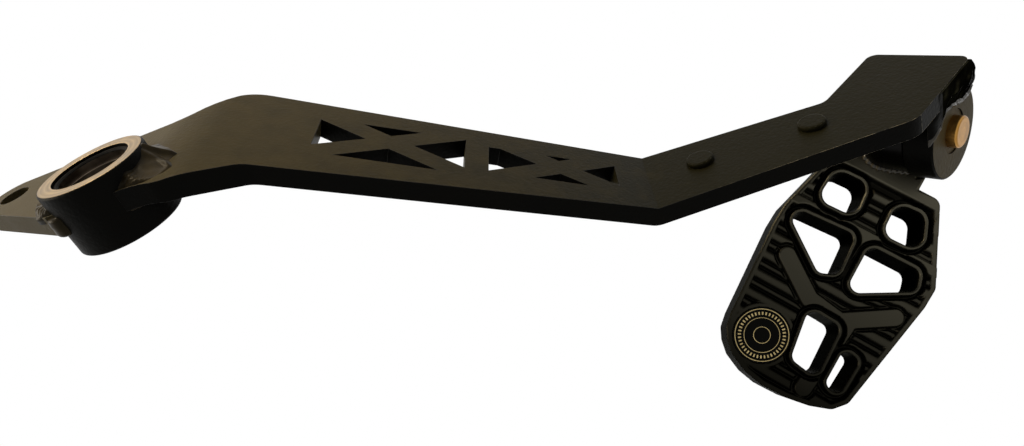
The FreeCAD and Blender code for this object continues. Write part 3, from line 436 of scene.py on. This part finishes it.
# Outline, openings (corner radius and core), fork and bridge, as shares of the pad's half width and length
face["outline"] = [
    (-0.473, 0.207), (-0.883, 0.445), (-0.883, 0.505), (-0.703, 0.894), (-0.623, 0.923),
    (-0.427, 0.945), (-0.176, 0.959), (0.117, 0.963), (0.318, 0.953), (0.515, 0.928),
    (0.628, 0.899), (0.695, 0.870), (0.724, 0.829), (0.828, 0.493), (0.824, 0.427),
    (0.649, 0.212), (0.460, 0.060), (0.209, 0.007), (-0.142, 0.007), (-0.163, 0.207)]
face["openings"] = [
    (0.142, [(0.502, 0.276), (0.360, 0.274), (0.343, 0.315), (0.510, 0.317)]),
    (0.142, [(-0.301, 0.281), (-0.402, 0.279), (-0.460, 0.317), (-0.310, 0.319)]),
    (0.109, [(0.674, 0.447), (0.163, 0.437), (0.130, 0.531), (0.209, 0.541)]),
    (0.109, [(-0.238, 0.442), (-0.678, 0.440), (-0.703, 0.462), (-0.251, 0.541)]),
    (0.109, [(-0.025, 0.726), (-0.218, 0.728), (-0.251, 0.852), (-0.100, 0.846)]),
    (0.092, [(-0.561, 0.786), (-0.598, 0.788), (-0.594, 0.873), (-0.569, 0.870)])]
face["bars"] = [((0.623, 0.572), (0.151, 0.666)), ((0.151, 0.666), (-0.268, 0.683)),
                ((-0.268, 0.683), (-0.778, 0.584)), ((-0.301, 0.938), (-0.360, 0.688))]
face["bridge"] = ((-0.059, 0.388), (-0.050, 0.451))
shares = np.array([face["half"], face["end"]])


# Distance of points to a stretch between two places
def toStretch(points, start, end):
    start, end = np.asarray(start, float), np.asarray(end, float)
    span = end - start
    t = np.clip(((points - start) @ span) / max(span @ span, 1e-9), 0, 1)
    return np.linalg.norm(points - start - t[..., None] * span, axis=-1)


# Distance to a closed outline, below zero inside: nearest side, signed by the count of crossed sides
def toOutline(points, corners):
    corners = np.asarray(corners, float)
    ends = np.roll(corners, -1, axis=0)
    away = np.min([toStretch(points, a, b) for a, b in zip(corners, ends)], axis=0)
    inside = np.zeros(points.shape[:-1], dtype=bool)
    for (ax, ay), (bx, by) in zip(corners, ends):
        spans = (ay > points[..., 1]) != (by > points[..., 1])
        inside ^= spans & (points[..., 0] < (bx - ax) * (points[..., 1] - ay) / (by - ay + 1e-12) + ax)
    return np.where(inside, -away, away)


# Distance to the nearest opening, below zero inside it: to its core's outline, less its corner radius
def holeDistance(points):
    return np.min([toOutline(points, np.array(core) * shares) - radius * face["half"]
                   for radius, core in face["openings"]], axis=0)


# Distance to the pad's edge, below zero inside: to the outline, less its corner radius
def edgeDistance(points):
    return toOutline(points, np.array(face["outline"]) * shares) - face["corner"]


# Rise to a flat top with soft flanks: floor + (top - floor) s^2 (3 - 2 s), s from 1 inside to 0 outside
def raised(distance, top, floor, soft):
    s = np.clip(0.5 - distance / (2 * soft), 0, 1)
    return floor + (top - floor) * s * s * (3 - 2 * s)


# Round bar between the floor and its rise: floor + rise sqrt(1 - (d / half)^2)
def bar(distance, half, rise):
    return face["floor"] + rise * np.sqrt(np.clip(1 - (distance / half) ** 2, 0, 1))


# Height of the face: highest of ridges, ribs, webs, fork, lands, rail and seat, then moats and rims of the
# openings, edge rounding share round (1 - d / round)^2 at d from the edge, and the cuts round the swivel's
# axis: the lower root of a z^2 + 2 b z + c = 0, no deeper than each cut's end
def faceHeight(points):
    floor, soft, top = face["floor"], face["soft"], face["ridgeTop"]
    x, y = points[..., 0], points[..., 1]
    start, pitch, number = face["ridge"]
    place = (y - start) / pitch
    fromRidge = np.abs(place - np.clip(np.round(place), 0, number - 1)) * pitch
    fromRib = np.abs(place - 0.5 - np.clip(np.round(place - 0.5), 0, number - 1)) * pitch
    z = np.maximum(bar(fromRidge, face["ridgeHalf"], top - floor),
                   bar(fromRib, face["ribHalf"], (top - floor) * face["ribShare"]))
    webMiddle, webHalf = face["web"]
    z = np.maximum(z, raised(y - face["field"], 0, floor, soft))
    z = np.maximum(z, raised(np.abs(y - webMiddle) - webHalf, 0, floor, soft))
    fromBridge = toStretch(points, *(np.array(face["bridge"]) * shares))
    z = np.maximum(z, raised(fromBridge - webHalf, 0, floor, soft))
    fromBars = [toStretch(points, *(np.array(line) * shares)) for line in face["bars"]]
    fromFork = np.min(fromBars, axis=0) - face["fork"]
    reach, grooveFloor, flank = face["groove"]
    z = np.minimum(z, raised(reach - fromFork, z, grooveFloor, flank))
    z = np.maximum(z, raised(fromFork, 0, floor, soft))
    land = np.maximum(x + face["landFrom"] * face["half"], y - face["field"] - pitch)
    z = np.maximum(z, raised(land, 0, floor, soft))
    edge = edgeDistance(points)
    z = np.maximum(z, raised(-edge - face["rail"], face["railTop"], floor, soft))
    bx, by, boss, pocket, deep = face["seat"]
    fromBadge = np.hypot(x - bx, y - by)
    z = np.maximum(z, raised(fromBadge - boss, top, floor, soft))
    z = np.where(fromBadge < pocket, deep, z)
    hole = holeDistance(points)
    reach, inset, flank = face["moat"]
    z = np.where(hole < reach, np.minimum(z, raised(reach - hole - inset, z, face["moatFloor"], flank)), z)
    z = np.maximum(z, raised(hole - face["rim"], face["proud"], face["moatFloor"], flank))
    near = np.clip(1 + np.maximum(edge, -hole) / face["round"], 0, 1)
    z = z - face["roundShare"] * face["round"] * near ** 2
    turn, origin = padFrame()
    swivelTurn, swivelFace = swivelFrame()
    spot = (points @ turn[:, :2].T + origin - swivelFace) @ swivelTurn
    rise = swivelTurn.T @ turn[:, 2]
    a, b = rise[0] ** 2 + rise[1] ** 2, spot[..., 0] * rise[0] + spot[..., 1] * rise[1]
    for radius, start in face["cuts"]:
        c = spot[..., 0] ** 2 + spot[..., 1] ** 2 - radius ** 2
        cut = (-b - np.sqrt(np.clip(b * b - a * c, 0, None))) / a
        cut = np.maximum(cut, (start - spot[..., 2]) / rise[2])
        z = np.where(b * b - a * c > 0, np.minimum(z, cut), z)
    return z


# Edges between an upright wall and the face or the back: those with just one upright face
def markWalls(mesh, normal):
    count = len(mesh.polygons)
    facing, sides = np.zeros(count * 3), np.zeros(count, dtype=np.int32)
    edges = np.zeros(len(mesh.loops), dtype=np.int32)
    mesh.polygons.foreach_get("normal", facing)
    mesh.polygons.foreach_get("loop_total", sides)
    mesh.loops.foreach_get("edge_index", edges)
    upright = np.repeat(np.abs(facing.reshape(-1, 3) @ normal) < face["upright"], sides)
    sharp = np.bincount(edges, weights=upright, minlength=len(mesh.edges)) == 1
    mesh.edges.foreach_set("use_edge_sharp", sharp)


# Grid over the outline cut to its edge and openings (marching squares), closed by walls and a flat back.
# Each cell's polygon walks corners 0 to 3: an inner one is kept, a side whose ends differ gives a crossing.
def padPiece():
    step = face["step"]
    xs = np.arange(-face["half"] - 2 * step, face["half"] + 2 * step, step)
    ys = np.arange(-3 * step - face["corner"], face["end"] + 2 * step, step)
    nx, ny = len(xs), len(ys)
    nodes = np.stack(np.meshgrid(xs, ys, indexing="ij"), axis=-1)
    field = np.maximum(edgeDistance(nodes), -holeDistance(nodes))
    field = np.where(np.abs(field) < face["snap"] * step, face["snap"] * step, field)
    alongX = field[:-1] / (field[:-1] - field[1:] + 1e-12)
    alongY = field[:, :-1] / (field[:, :-1] - field[:, 1:] + 1e-12)
    sideX = nodes[:-1] + np.clip(alongX, 0, 1)[..., None] * (nodes[1:] - nodes[:-1])
    sideY = nodes[:, :-1] + np.clip(alongY, 0, 1)[..., None] * (nodes[:, 1:] - nodes[:, :-1])
    flat = np.concatenate([nodes.reshape(-1, 2), sideX.reshape(-1, 2), sideY.reshape(-1, 2)])
    i, j = np.meshgrid(np.arange(nx - 1), np.arange(ny - 1), indexing="ij")
    offX, offY = nx * ny, nx * ny + (nx - 1) * ny
    ids = np.stack([i * ny + j, (i + 1) * ny + j, (i + 1) * ny + j + 1, i * ny + j + 1,
                    offX + i * ny + j, offY + (i + 1) * (ny - 1) + j,
                    offX + i * ny + j + 1, offY + i * (ny - 1) + j], axis=-1)
    inner = field < 0
    code = inner[:-1, :-1] + 2 * inner[1:, :-1] + 4 * inner[1:, 1:] + 8 * inner[:-1, 1:]
    polygons, walls = [], []
    for case in range(1, 16):
        walk = []
        for k in range(4):
            walk += [k] if case >> k & 1 else []
            walk += [4 + k] if (case >> k & 1) != (case >> (k + 1) % 4 & 1) else []
        rows = ids[code == case][:, walk]
        polygons.append(rows)
        for k, a in enumerate(walk):
            after = (k + 1) % len(walk)
            if a > 3 and walk[after] > 3:
                walls.append(rows[:, [k, after]])
    used = np.unique(np.concatenate([rows.ravel() for rows in polygons]))
    renumber = np.full(len(flat), -1)
    renumber[used] = np.arange(len(used))
    flat = flat[used]
    top = np.column_stack([flat, faceHeight(flat)])
    under = np.column_stack([flat, np.full(len(flat), -face["thick"])])
    count = len(flat)
    faces = [row for rows in polygons for row in renumber[rows].tolist()]
    faces += [[v + count for v in reversed(row)] for row in faces]
    walls = renumber[np.concatenate(walls)]
    faces += np.stack([walls[:, 1], walls[:, 0], walls[:, 0] + count, walls[:, 1] + count], axis=1).tolist()
    mesh = bpy.data.meshes.new("machinedPad")
    mesh.from_pydata((placed(np.concatenate([top, under]), padFrame()) * mm).tolist(), [], faces)
    closeUp(mesh, face["merge"])
    markWalls(mesh, padFrame()[0][:, 2])
    return newPiece("machinedPad", mesh)


padFace = padPiece()
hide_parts("foot_pad")
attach(padFace, "pad")
paint(padFace, alloy)
print("pad: 1,", len(padFace.data.polygons), "faces")


# Smooth line through a few points: cubic between each two, slopes from the neighbours, even steps of t
def smoothLine(points, count):
    points = np.asarray(points, float)
    padded = np.concatenate([2 * points[:1] - points[1:2], points, 2 * points[-1:] - points[-2:-1]])
    t = np.linspace(0, len(points) - 1 - 1e-9, count)
    k = t.astype(int)
    f = (t - k)[:, None]
    a, b, c, d = (padded[k + i] for i in range(4))
    return 0.5 * (2 * b + (c - a) * f + (2 * a - 5 * b + 4 * c - d) * f ** 2
                  + (3 * b - a - 3 * c + d) * f ** 3)


# Narrows towards both ends of a run u: sqrt(1 - |2 t - 1|^power), t from 0 to 1, and never quite nothing
def endTaper(u, power, least=0.002):
    t = np.abs(2 * (u - u[0]) / (u[-1] - u[0]) - 1)
    return np.sqrt(np.clip(1 - t ** power, least, 1))


# Weld bead: an ellipse carried along a line, with round ends and overlapping ripples one pitch apart.
# Offset = side cos(v) width / 2 + up sin(v) height, both times 1 + waver (sin over 3.7 mm + 0.7 sin over
# 1.5 mm) and times 1 - depth + depth |sin(pi s / pitch + bow sin(v)^2)|
def weldBead(line, up, width, height, pitch=1.1, depth=0.22, bow=0.9, steps=10, around=22, waver=0.08):
    centre = smoothLine(line, 200)
    length = np.concatenate([[0], np.cumsum(np.linalg.norm(np.diff(centre, axis=0), axis=1))])
    count = max(24, int(length[-1] / pitch * steps))
    s = np.linspace(0, length[-1], count)
    centre = np.stack([np.interp(s, length, centre[:, i]) for i in range(3)], axis=1)
    along = np.gradient(centre, axis=0)
    along /= np.linalg.norm(along, axis=1)[:, None]
    side = np.cross(along, np.asarray(up, float))
    side /= np.linalg.norm(side, axis=1)[:, None]
    rise = np.cross(side, along)
    v = np.linspace(0, 2 * math.pi, around, endpoint=False)
    ripple = 1 - depth + depth * np.abs(np.sin(math.pi * s[:, None] / pitch + bow * np.sin(v)[None] ** 2))
    ripple = ripple * (1 + waver * np.sin(s * 1.7 + 0.6) + waver * 0.7 * np.sin(s * 4.1))[:, None]
    size = endTaper(s, 5, 0.0004)[:, None] * ripple
    return (centre[:, None] + side[:, None] * (np.cos(v)[None] * size * width / 2)[..., None]
            + rise[:, None] * (np.sin(v)[None] * size * height)[..., None])


# Welds at the tube's foot, in mm. Skins in front and behind: angle about the pivot, reach over the plate
# and climb up the tube, then raised lines as places (x, z), width, height and ripple pitch, and the height
# of lumps. Corner: the bead down the ear's near side, as its run, the direction of its top, and width,
# height, ripple pitch, depth and waver. Rounds: beads about the tube, as height, direction of their top,
# first and last angle and ripple depth, all with the same radius, width, height and pitch.
hubWeld = {
    "front": {
        "table": [(-62, 15.0, 1.3), (-40, 15.8, 1.6), (-20, 17.0, 2.8), (-10, 18.8, 4.2), (0, 17.6, 3.4),
                  (9, 19.0, 2.6), (19, 19.4, 2.0), (28, 18.4, 1.8), (36, 16.9, 1.6), (44, 14.5, 1.2),
                  (51, 13.2, 0.6)],
        "lines": [([(12.6, -1.9), (15.4, -2.7), (18.2, -3.1)], 0.9, 0.9, 9.0),
                  ([(12.8, -0.2), (15.4, 0.4), (18.2, 2.4), (18.9, 4.2), (18.5, 6.6)], 0.85, 0.75, 11.0),
                  ([(10.6, 6.8), (12.6, 8.6), (14.6, 9.9), (16.6, 10.4)], 1.35, 0.75, 1.05)],
        "lump": 0.06},
    "back": {
        "table": [(129, 13.0, 0.4), (135, 14.0, 1.2), (146, 15.8, 2.0), (160, 16.4, 2.1), (176, 16.2, 1.8),
                  (200, 15.4, 1.4)],
        "lines": [([(-9.4, 9.8), (-11.6, 8.0), (-14.4, 5.2), (-15.6, 1.0)], 1.1, 0.7, 1.3)],
        "lump": 0.22},
    "grid": (240, 56), "inside": 12.6, "under": 1.4, "highest": 7.8, "climbPower": 1.7, "ragged": 0.015,
    "fade": 7, "ripple": 0.22, "track": 120, "plate": 3.75, "fold": (10.2, 28.0, 13), "edge": 10.35,
    "past": 0.35, "overTurn": 1.5, "lip": (0.93, 0.25), "endPower": 16,
    "corner": [(-8.5, 3.4, 9.4), (-8.5, 0.5, 9.4), (-8.5, -2.0, 9.4)], "cornerUp": (-0.68, 0, 0.73),
    "cornerSize": {"width": 6.4, "height": 2.1, "pitch": 2.0, "depth": 0.04, "waver": 0.02},
    "rounds": [(3.8, 1, -50, -170, 0.14), (-1.3, -1, 50, -230, 0.2)],
    "radius": 13.4, "width": 3.8, "height": 1.3, "pitch": 1.5}


# Plate's top at x: flat, then the fold's arc: top - (R - sqrt(R^2 - (x - x0)^2))
def plateTop(x):
    start, radius, reach = hubWeld["fold"]
    return hubWeld["plate"] - (radius - np.sqrt(radius ** 2 - np.clip(x - start, 0, reach) ** 2))


# Skin over (angle, v): r from the tube to the reach, y = plate + climb (1 - v)^1.7 + lines + lumps, then a
# turn down past the plate's edge and a thin lip, then back underneath. A line adds h exp(-(d / w)^2) times
# 0.78 + 0.22 |sin(pi s / pitch)|.
def footSkin(skin):
    table = np.array(skin["table"], float)
    rows, cols = hubWeld["grid"]
    q = np.linspace(table[0, 0], table[-1, 0], rows)
    reach, climb = (np.interp(q, table[:, 0], table[:, k])[:, None] for k in (1, 2))
    v = np.linspace(0, 1, cols)[None]
    ragged = 1 + hubWeld["ragged"] * np.sin(q * 0.23)[:, None]
    r = hubWeld["inside"] + (reach * ragged - hubWeld["inside"]) * v
    angle = np.radians(q)[:, None]
    x, z = r * np.cos(angle), r * np.sin(angle)
    y = plateTop(x) + climb * (1 - v) ** hubWeld["climbPower"]
    fade = np.clip((1 - v) * hubWeld["fade"], 0, 1)
    spots = np.stack([x, z], axis=-1)
    for line, wide, high, pitch in skin["lines"]:
        track = smoothLine([(a, b, 0) for a, b in line], hubWeld["track"])[:, :2]
        away = np.linalg.norm(spots[:, :, None] - track[None, None], axis=-1)
        nearest, away = away.argmin(axis=2), away.min(axis=2)
        s = nearest * np.linalg.norm(np.diff(track, axis=0), axis=1).sum() / (hubWeld["track"] - 1)
        along = np.abs(np.sin(math.pi * (s + 0.5 * away) / pitch))
        y = y + high * fade * np.exp(-(away / wide) ** 2) * (1 - hubWeld["ripple"] * (1 - along))
    y = y + skin["lump"] * fade * np.sin(x * 1.4 + z * 0.5) * np.sin(z * 1.5 - x * 0.4 + 0.8)
    over = np.clip(z - hubWeld["edge"], 0, None)
    y, z = y - hubWeld["overTurn"] * over, np.minimum(z, hubWeld["edge"] + hubWeld["past"] + 0.1 * over)
    lipStart, lipDrop = hubWeld["lip"]
    y = y - lipDrop * np.clip((v - lipStart) / (1 - lipStart), 0, 1)
    y = np.minimum(y, hubWeld["highest"])
    floor = np.minimum(plateTop(x), y) - hubWeld["under"]
    y = floor + (y - floor) * endTaper(q, hubWeld["endPower"])[:, None]
    return np.concatenate([np.stack([x, y, z], axis=-1), np.stack([x, floor, z], axis=-1)[:, ::-1]], axis=1)


# Bead round the tube at one height: x = r cos(a), z = r sin(a)
def roundBead(height, up, start, end, depth):
    a = np.radians(np.linspace(start, end, 24))
    r = hubWeld["radius"]
    line = np.stack([r * np.cos(a), np.full(24, height), r * np.sin(a)], axis=1)
    return weldBead(line, (0, up, 0), hubWeld["width"], hubWeld["height"], hubWeld["pitch"], depth)


tubes = [footSkin(hubWeld["front"]), footSkin(hubWeld["back"]), roundBead(*hubWeld["rounds"][0])]
tubes.append(weldBead(hubWeld["corner"], hubWeld["cornerUp"], **hubWeld["cornerSize"]))
inboard = tubesMesh("hubWeldInboard", tubes)
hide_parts("hub_weld_inboard")
outboard = tubesMesh("hubWeldOutboard", [roundBead(*hubWeld["rounds"][1])])
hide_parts("hub_weld_outboard")
for piece in (inboard, outboard):
    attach(piece, "arm")
    paint(piece, weldCoat)
print("hub welds: 2")

# Weld under the head, in mm of the swivel's frame: a lumpy skin from the plate's end down to a ragged
# rolled edge on the flange's face, as x, low y and top y. Roll: height, middle and width as shares of the
# way down. Fillet: the bead down each flank of the flange, its width, height, ripple pitch and depth. Near
# end and roll by rows and columns.
flangeWeld = {
    "edge": [(-13.1, 3.0, 16.8), (-12.0, 4.6, 17.5), (-9.9, 5.8, 17.6), (-8.6, 7.8, 17.6), (-6.2, 9.2, 17.6),
             (-2.0, 8.2, 17.6), (2.0, 6.8, 17.6), (5.0, 6.0, 17.6), (6.8, 6.0, 17.2), (8.6, 6.6, 15.0),
             (10.2, 7.2, 12.2), (11.6, 7.6, 9.0)],
    "grid": (150, 56), "plateEnd": 1.75, "plateFoot": 13.3, "over": 0.25, "floor": -0.9, "lump": 0.4,
    "roll": (0.55, 0.9, 0.05), "foot": (0.985, -0.2), "endPower": 14,
    "fillet": [(9.4, 10.4, 1.2), (9.8, 10.0, -1.5), (9.3, 10.2, -4.5), (9.0, 10.6, -7.6)],
    "filletUp": (0.6, -0.7, 0), "filletSize": (5.2, 2.2, 1.3, 0.2), "nearRows": 18, "rollColumns": (46, 54)}


# Skin over (u, v): u runs across the head, v from the plate's top (0) to the rolled edge (1), then back
# underneath. Height = the plate's end face, then falling to the flange's face, + lumps + a roll near v = 1.
# The rolled edge waves by 0.2 mm over 4.2 mm and by 0.1 mm over 1.8 mm.
def flangeSkin():
    edge = np.array(flangeWeld["edge"])
    rows, cols = flangeWeld["grid"]
    x = np.linspace(edge[0, 0], edge[-1, 0], rows)
    low = np.interp(x, edge[:, 0], edge[:, 1]) + 0.2 * np.sin(x * 1.5) + 0.1 * np.sin(x * 3.4 + 1)
    top = np.interp(x, edge[:, 0], edge[:, 2])
    xx, vv = np.meshgrid(x, np.linspace(0, 1, cols), indexing="ij")
    yy = top[:, None] + (low - top)[:, None] * vv
    fall = np.clip((yy - low[:, None]) / (flangeWeld["plateFoot"] - low[:, None]), 0, 1)
    lumps = (np.sin(xx * 0.62 + yy * 0.4) * np.sin(yy * 0.7 - xx * 0.3 + 1.0)
             + 0.25 * np.sin(xx * 1.5 + 2) * np.sin(yy * 1.3))
    zz = flangeWeld["plateEnd"] * fall ** 0.8 + flangeWeld["over"]
    zz += flangeWeld["lump"] * (0.4 + lumps) * np.sin(math.pi * vv)
    high, middle, wide = flangeWeld["roll"]
    zz += high * np.exp(-((vv - middle) / wide) ** 2)
    footStart, footHeight = flangeWeld["foot"]
    zz = np.where(vv > footStart, footHeight, zz)
    floor = flangeWeld["floor"]
    under = np.stack([xx, yy, np.full_like(zz, floor)], axis=-1)[:, ::-5]
    skin = np.concatenate([np.stack([xx, yy, zz], axis=-1), under], axis=1)
    skin[..., 2] = floor + (skin[..., 2] - floor) * endTaper(x, flangeWeld["endPower"])[:, None]
    return skin


tubes = [flangeSkin()]
for sign in (-1, 1):
    fillet, up = (np.array(flangeWeld[k]) * (sign, 1, 1) for k in ("fillet", "filletUp"))
    tubes.append(weldBead(fillet, up, *flangeWeld["filletSize"]))
# Slots: the skin in 0, its rolled edge in 1, its near end and the fillets in 2; painted shade on the skin
# and, darker, on the near end and fillets, and a painted highlight on the roll
skinSlots = np.zeros((len(tubes[0]) + 1, tubes[0].shape[1]), dtype=np.int32)
first, last = flangeWeld["rollColumns"]
skinSlots[:, first:last] = 1
skinSlots[:flangeWeld["nearRows"], :first] = 2
slots = [skinSlots.ravel()]
slots += [np.full((len(tube) + 1) * tube.shape[1], 2, dtype=np.int32) for tube in tubes[1:]]
tubes = [placed(tube, swivelFrame()) for tube in tubes]
headWeld = tubesMesh("flangeWeldBeads", tubes, np.concatenate(slots))
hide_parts("flange_weld")
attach(headWeld, "arm")
paint(headWeld, paintedShadeWeld, paintedHighlightBead, paintedShadeCoat)
print("flange weld: 1")

# Bead round the knuckle's foot, in mm and degrees about the swivel, on the line where the domed cylinder
# meets the pad's face. It is kept below the flange. Tip: how near to the dome's tip the search starts, and
# how near the bead comes.
knuckle = {"radius": 11.9, "start": -15.8, "dome": 5.5, "from": -248.0, "to": -108.0, "count": 90,
           "halvings": 40, "top": -7.0, "lift": 0.1, "flange": -8.6, "tip": (0.01, 0.1), "width": 2.2,
           "height": 0.9, "pitch": 1.5, "depth": 0.3}


# Axial place a at angle q where the knuckle meets the face: halving a bracket, as whole arrays.
# Radius = R down to the dome's start, then R - dome + sqrt(dome^2 - (start - a)^2)
def knuckleFoot():
    padTurn, padBase = padFrame()
    count, dome = knuckle["count"], knuckle["dome"]
    bottom = knuckle["start"] - dome
    q = np.radians(np.linspace(knuckle["from"], knuckle["to"], count))
    low, high = np.full(count, bottom + knuckle["tip"][0]), np.full(count, knuckle["top"])
    for step in range(knuckle["halvings"]):
        a = (low + high) / 2
        inner = np.clip(dome ** 2 - np.clip(knuckle["start"] - a, 0, None) ** 2, 0, None)
        r = knuckle["radius"] - dome + np.sqrt(inner)
        spot = placed(np.stack([r * np.cos(q), r * np.sin(q), a], axis=1), swivelFrame())
        below = (spot - padBase) @ padTurn[:, 2] < knuckle["lift"]
        low, high = np.where(below, a, low), np.where(below, high, a)
    return spot[(a < knuckle["flange"]) & (a > bottom + knuckle["tip"][1])]


foot = knuckleFoot()
print("knuckle foot:", len(foot), foot[0].round(1), foot[-1].round(1))
bead = weldBead(foot, padFrame()[0][:, 2], *(knuckle[k] for k in ("width", "height", "pitch", "depth")))
footBead = tubesMesh("knuckleWeldBead", [bead])
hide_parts("knuckle_weld")
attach(footBead, "pad")
# Paler coat: a painted highlight on the bead's ripples
paint(footBead, paintedHighlightBead)
print("knuckle weld: 1")

# Badge, in mm of the pad's frame: a low dome of black enamel with gilt rings and plain ticks, no lettering
badge = {"centre": (9.8, 70.9), "radius": 8.0, "face": -0.3, "floor": -1.1, "dome": 0.25, "proud": 0.06,
         "rings": [(7.25, 7.5), (4.8, 5.0), (2.2, 2.4)], "ticks": (5.7, 6.6), "count": 40, "tickEdge": 0.2,
         "step": 0.02, "inner": 0.05, "flat": 7.85, "rim": [(7.95, 0.06), (8.0, 0.2)], "grid": (40, 480)}


# Height over (r, q): dome (1 - (r/R)^2), plus proud on the gilt rings, and between the ticks' radii where
# cos(count q) > 0.2; then the rim and the underside
def badgeTube():
    marks = sorted(v for pair in badge["rings"] + [badge["ticks"]] for v in pair)
    plain = np.linspace(badge["inner"], badge["flat"], badge["grid"][0])
    step = badge["step"]
    r = np.unique(np.round(np.concatenate([plain] + [[v - step, v + step] for v in marks]), 4))
    q = np.linspace(0, 2 * math.pi, badge["grid"][1], endpoint=False)
    rr, qq = np.meshgrid(r, q, indexing="ij")
    gold = np.zeros_like(rr, dtype=bool)
    for inner, outer in badge["rings"]:
        gold |= (rr > inner) & (rr < outer)
    inner, outer = badge["ticks"]
    gold |= (rr > inner) & (rr < outer) & (np.cos(badge["count"] * qq) > badge["tickEdge"])
    zz = badge["face"] + badge["dome"] * (1 - (rr / badge["radius"]) ** 2) + badge["proud"] * gold
    rim = np.array([(r, badge["face"] - drop) for r, drop in badge["rim"]]
                   + [(badge["radius"], badge["floor"]), (badge["inner"], badge["floor"])])
    rr = np.concatenate([rr, np.repeat(rim[:, :1], len(q), axis=1)])
    zz = np.concatenate([zz, np.repeat(rim[:, 1:], len(q), axis=1)])
    gold = np.concatenate([gold, np.zeros((len(rim), len(q)), dtype=bool)])
    qq = np.repeat(q[None], len(rr), axis=0)
    x, y = badge["centre"]
    tube = np.stack([x + rr * np.cos(qq), y + rr * np.sin(qq), zz], axis=-1)
    both = gold[:-1] & gold[1:]
    slots = np.concatenate([np.zeros((1, len(q))), both, np.zeros((1, len(q)))]).astype(np.int32)
    return placed(tube, padFrame()), slots.ravel()


tube, slots = badgeTube()
badgePiece = tubesMesh("padBadge", [tube], slots)
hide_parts("pad_badge")
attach(badgePiece, "pad")
paint(badgePiece, enamel, gilt)
print("badge: 1")

# Camera at the photograph's place, from the fit of the arm's edges: mm, unit vectors, pixels
view = {"place": (114.906, 54.344, 163.139), "forward": (-0.18903, -0.56285, -0.80465),
        "up": (0.28892, 0.75128, -0.59339), "focal": 794.587, "rowOfAxis": 293.22, "width": 1024,
        "height": 446, "film": 36.0, "nearest": 1.0}
forward = Vector(view["forward"]).normalized()
right = forward.cross(Vector(view["up"])).normalized()
upward = right.cross(forward)
cameraData = bpy.data.cameras.new("camera")
cameraData.sensor_width = view["film"]
cameraData.sensor_fit = "HORIZONTAL"
cameraData.lens = view["focal"] * view["film"] / view["width"]
cameraData.shift_y = (view["rowOfAxis"] - view["height"] / 2) / view["width"]
cameraData.clip_start = view["nearest"] * mm
camera = bpy.data.objects.new("camera", cameraData)
turn = Matrix((right, upward, -forward)).transposed().to_4x4()
camera.matrix_world = Matrix.Translation(Vector(view["place"]) * mm) @ turn
bpy.context.scene.collection.objects.link(camera)
bpy.context.scene.camera = camera

# Light, in metres and watts: one large box over the inboard side and behind, one small one low at the ear's
# end, and a faint warm light from all round, which the camera sees as white
light = {"middle": (0.03, -0.02, -0.02), "air": "#f7f0e4", "airStrength": 0.12,
         "boxes": [("softboxAbove", (-0.15, 0.5, -0.35), 0.35, 8.0, "#ffeccb"),
                   ("softboxLeft", (-0.5, 0.2, 0.0), 0.25, 1.4, "#fff0d8")]}
for name, place, size, power, tone in light["boxes"]:
    lampData = bpy.data.lights.new(name, "AREA")
    lampData.size = size
    lampData.energy = power
    lampData.color = colour(tone)[:3]
    lamp = bpy.data.objects.new(name, lampData)
    lamp.location = place
    lamp.rotation_euler = (Vector(light["middle"]) - Vector(place)).to_track_quat("-Z", "Y").to_euler()
    bpy.context.scene.collection.objects.link(lamp)


# White for the camera and in gloss and glass, and the given shader for all other light
def seenWhite(owner, shader, target, kind):
    path = addNode(owner, "ShaderNodeLightPath")
    seen = addNode(owner, "ShaderNodeMath", [(path, "Is Camera Ray", 0), (path, "Is Glossy Ray", 1)],
                   operation="MAXIMUM")
    more = addNode(owner, "ShaderNodeMath", [(seen, "Value", 0), (path, "Is Transmission Ray", 1)],
                   operation="MAXIMUM")
    white = addNode(owner, kind, Color=(1, 1, 1, 1), Strength=1.0)
    mix = addNode(owner, "ShaderNodeMixShader", [(more, "Value", "Fac"), (shader, 0, 1), (white, 0, 2)])
    join(owner, mix, "Shader", owner.node_tree.nodes[target], "Surface")


world = bpy.data.worlds.new("studio")
bpy.context.scene.world = world
world.use_nodes = True
air = world.node_tree.nodes["Background"]
air.inputs["Color"].default_value = colour(light["air"])
air.inputs["Strength"].default_value = light["airStrength"]
seenWhite(world, air, "World Output", "ShaderNodeBackground")

# Floor, in metres: wide and well below the part
floorAt = {"width": 8.0, "height": -0.3}
bpy.ops.mesh.primitive_plane_add(size=floorAt["width"], location=(0, 0, floorAt["height"]))
ground = bpy.context.object
ground.name = "paleFloor"
floorPaint, floorShader, here = newMaterial("paleFloorPaint", Base_Color=colour("#e9e7e2"), Roughness=0.8)
seenWhite(floorPaint, floorShader, "Material Output", "ShaderNodeEmission")
ground.data.materials.append(floorPaint)
bpy.context.scene.view_settings.view_transform = "Standard"
print("stage: camera, 2 lamps, floor")
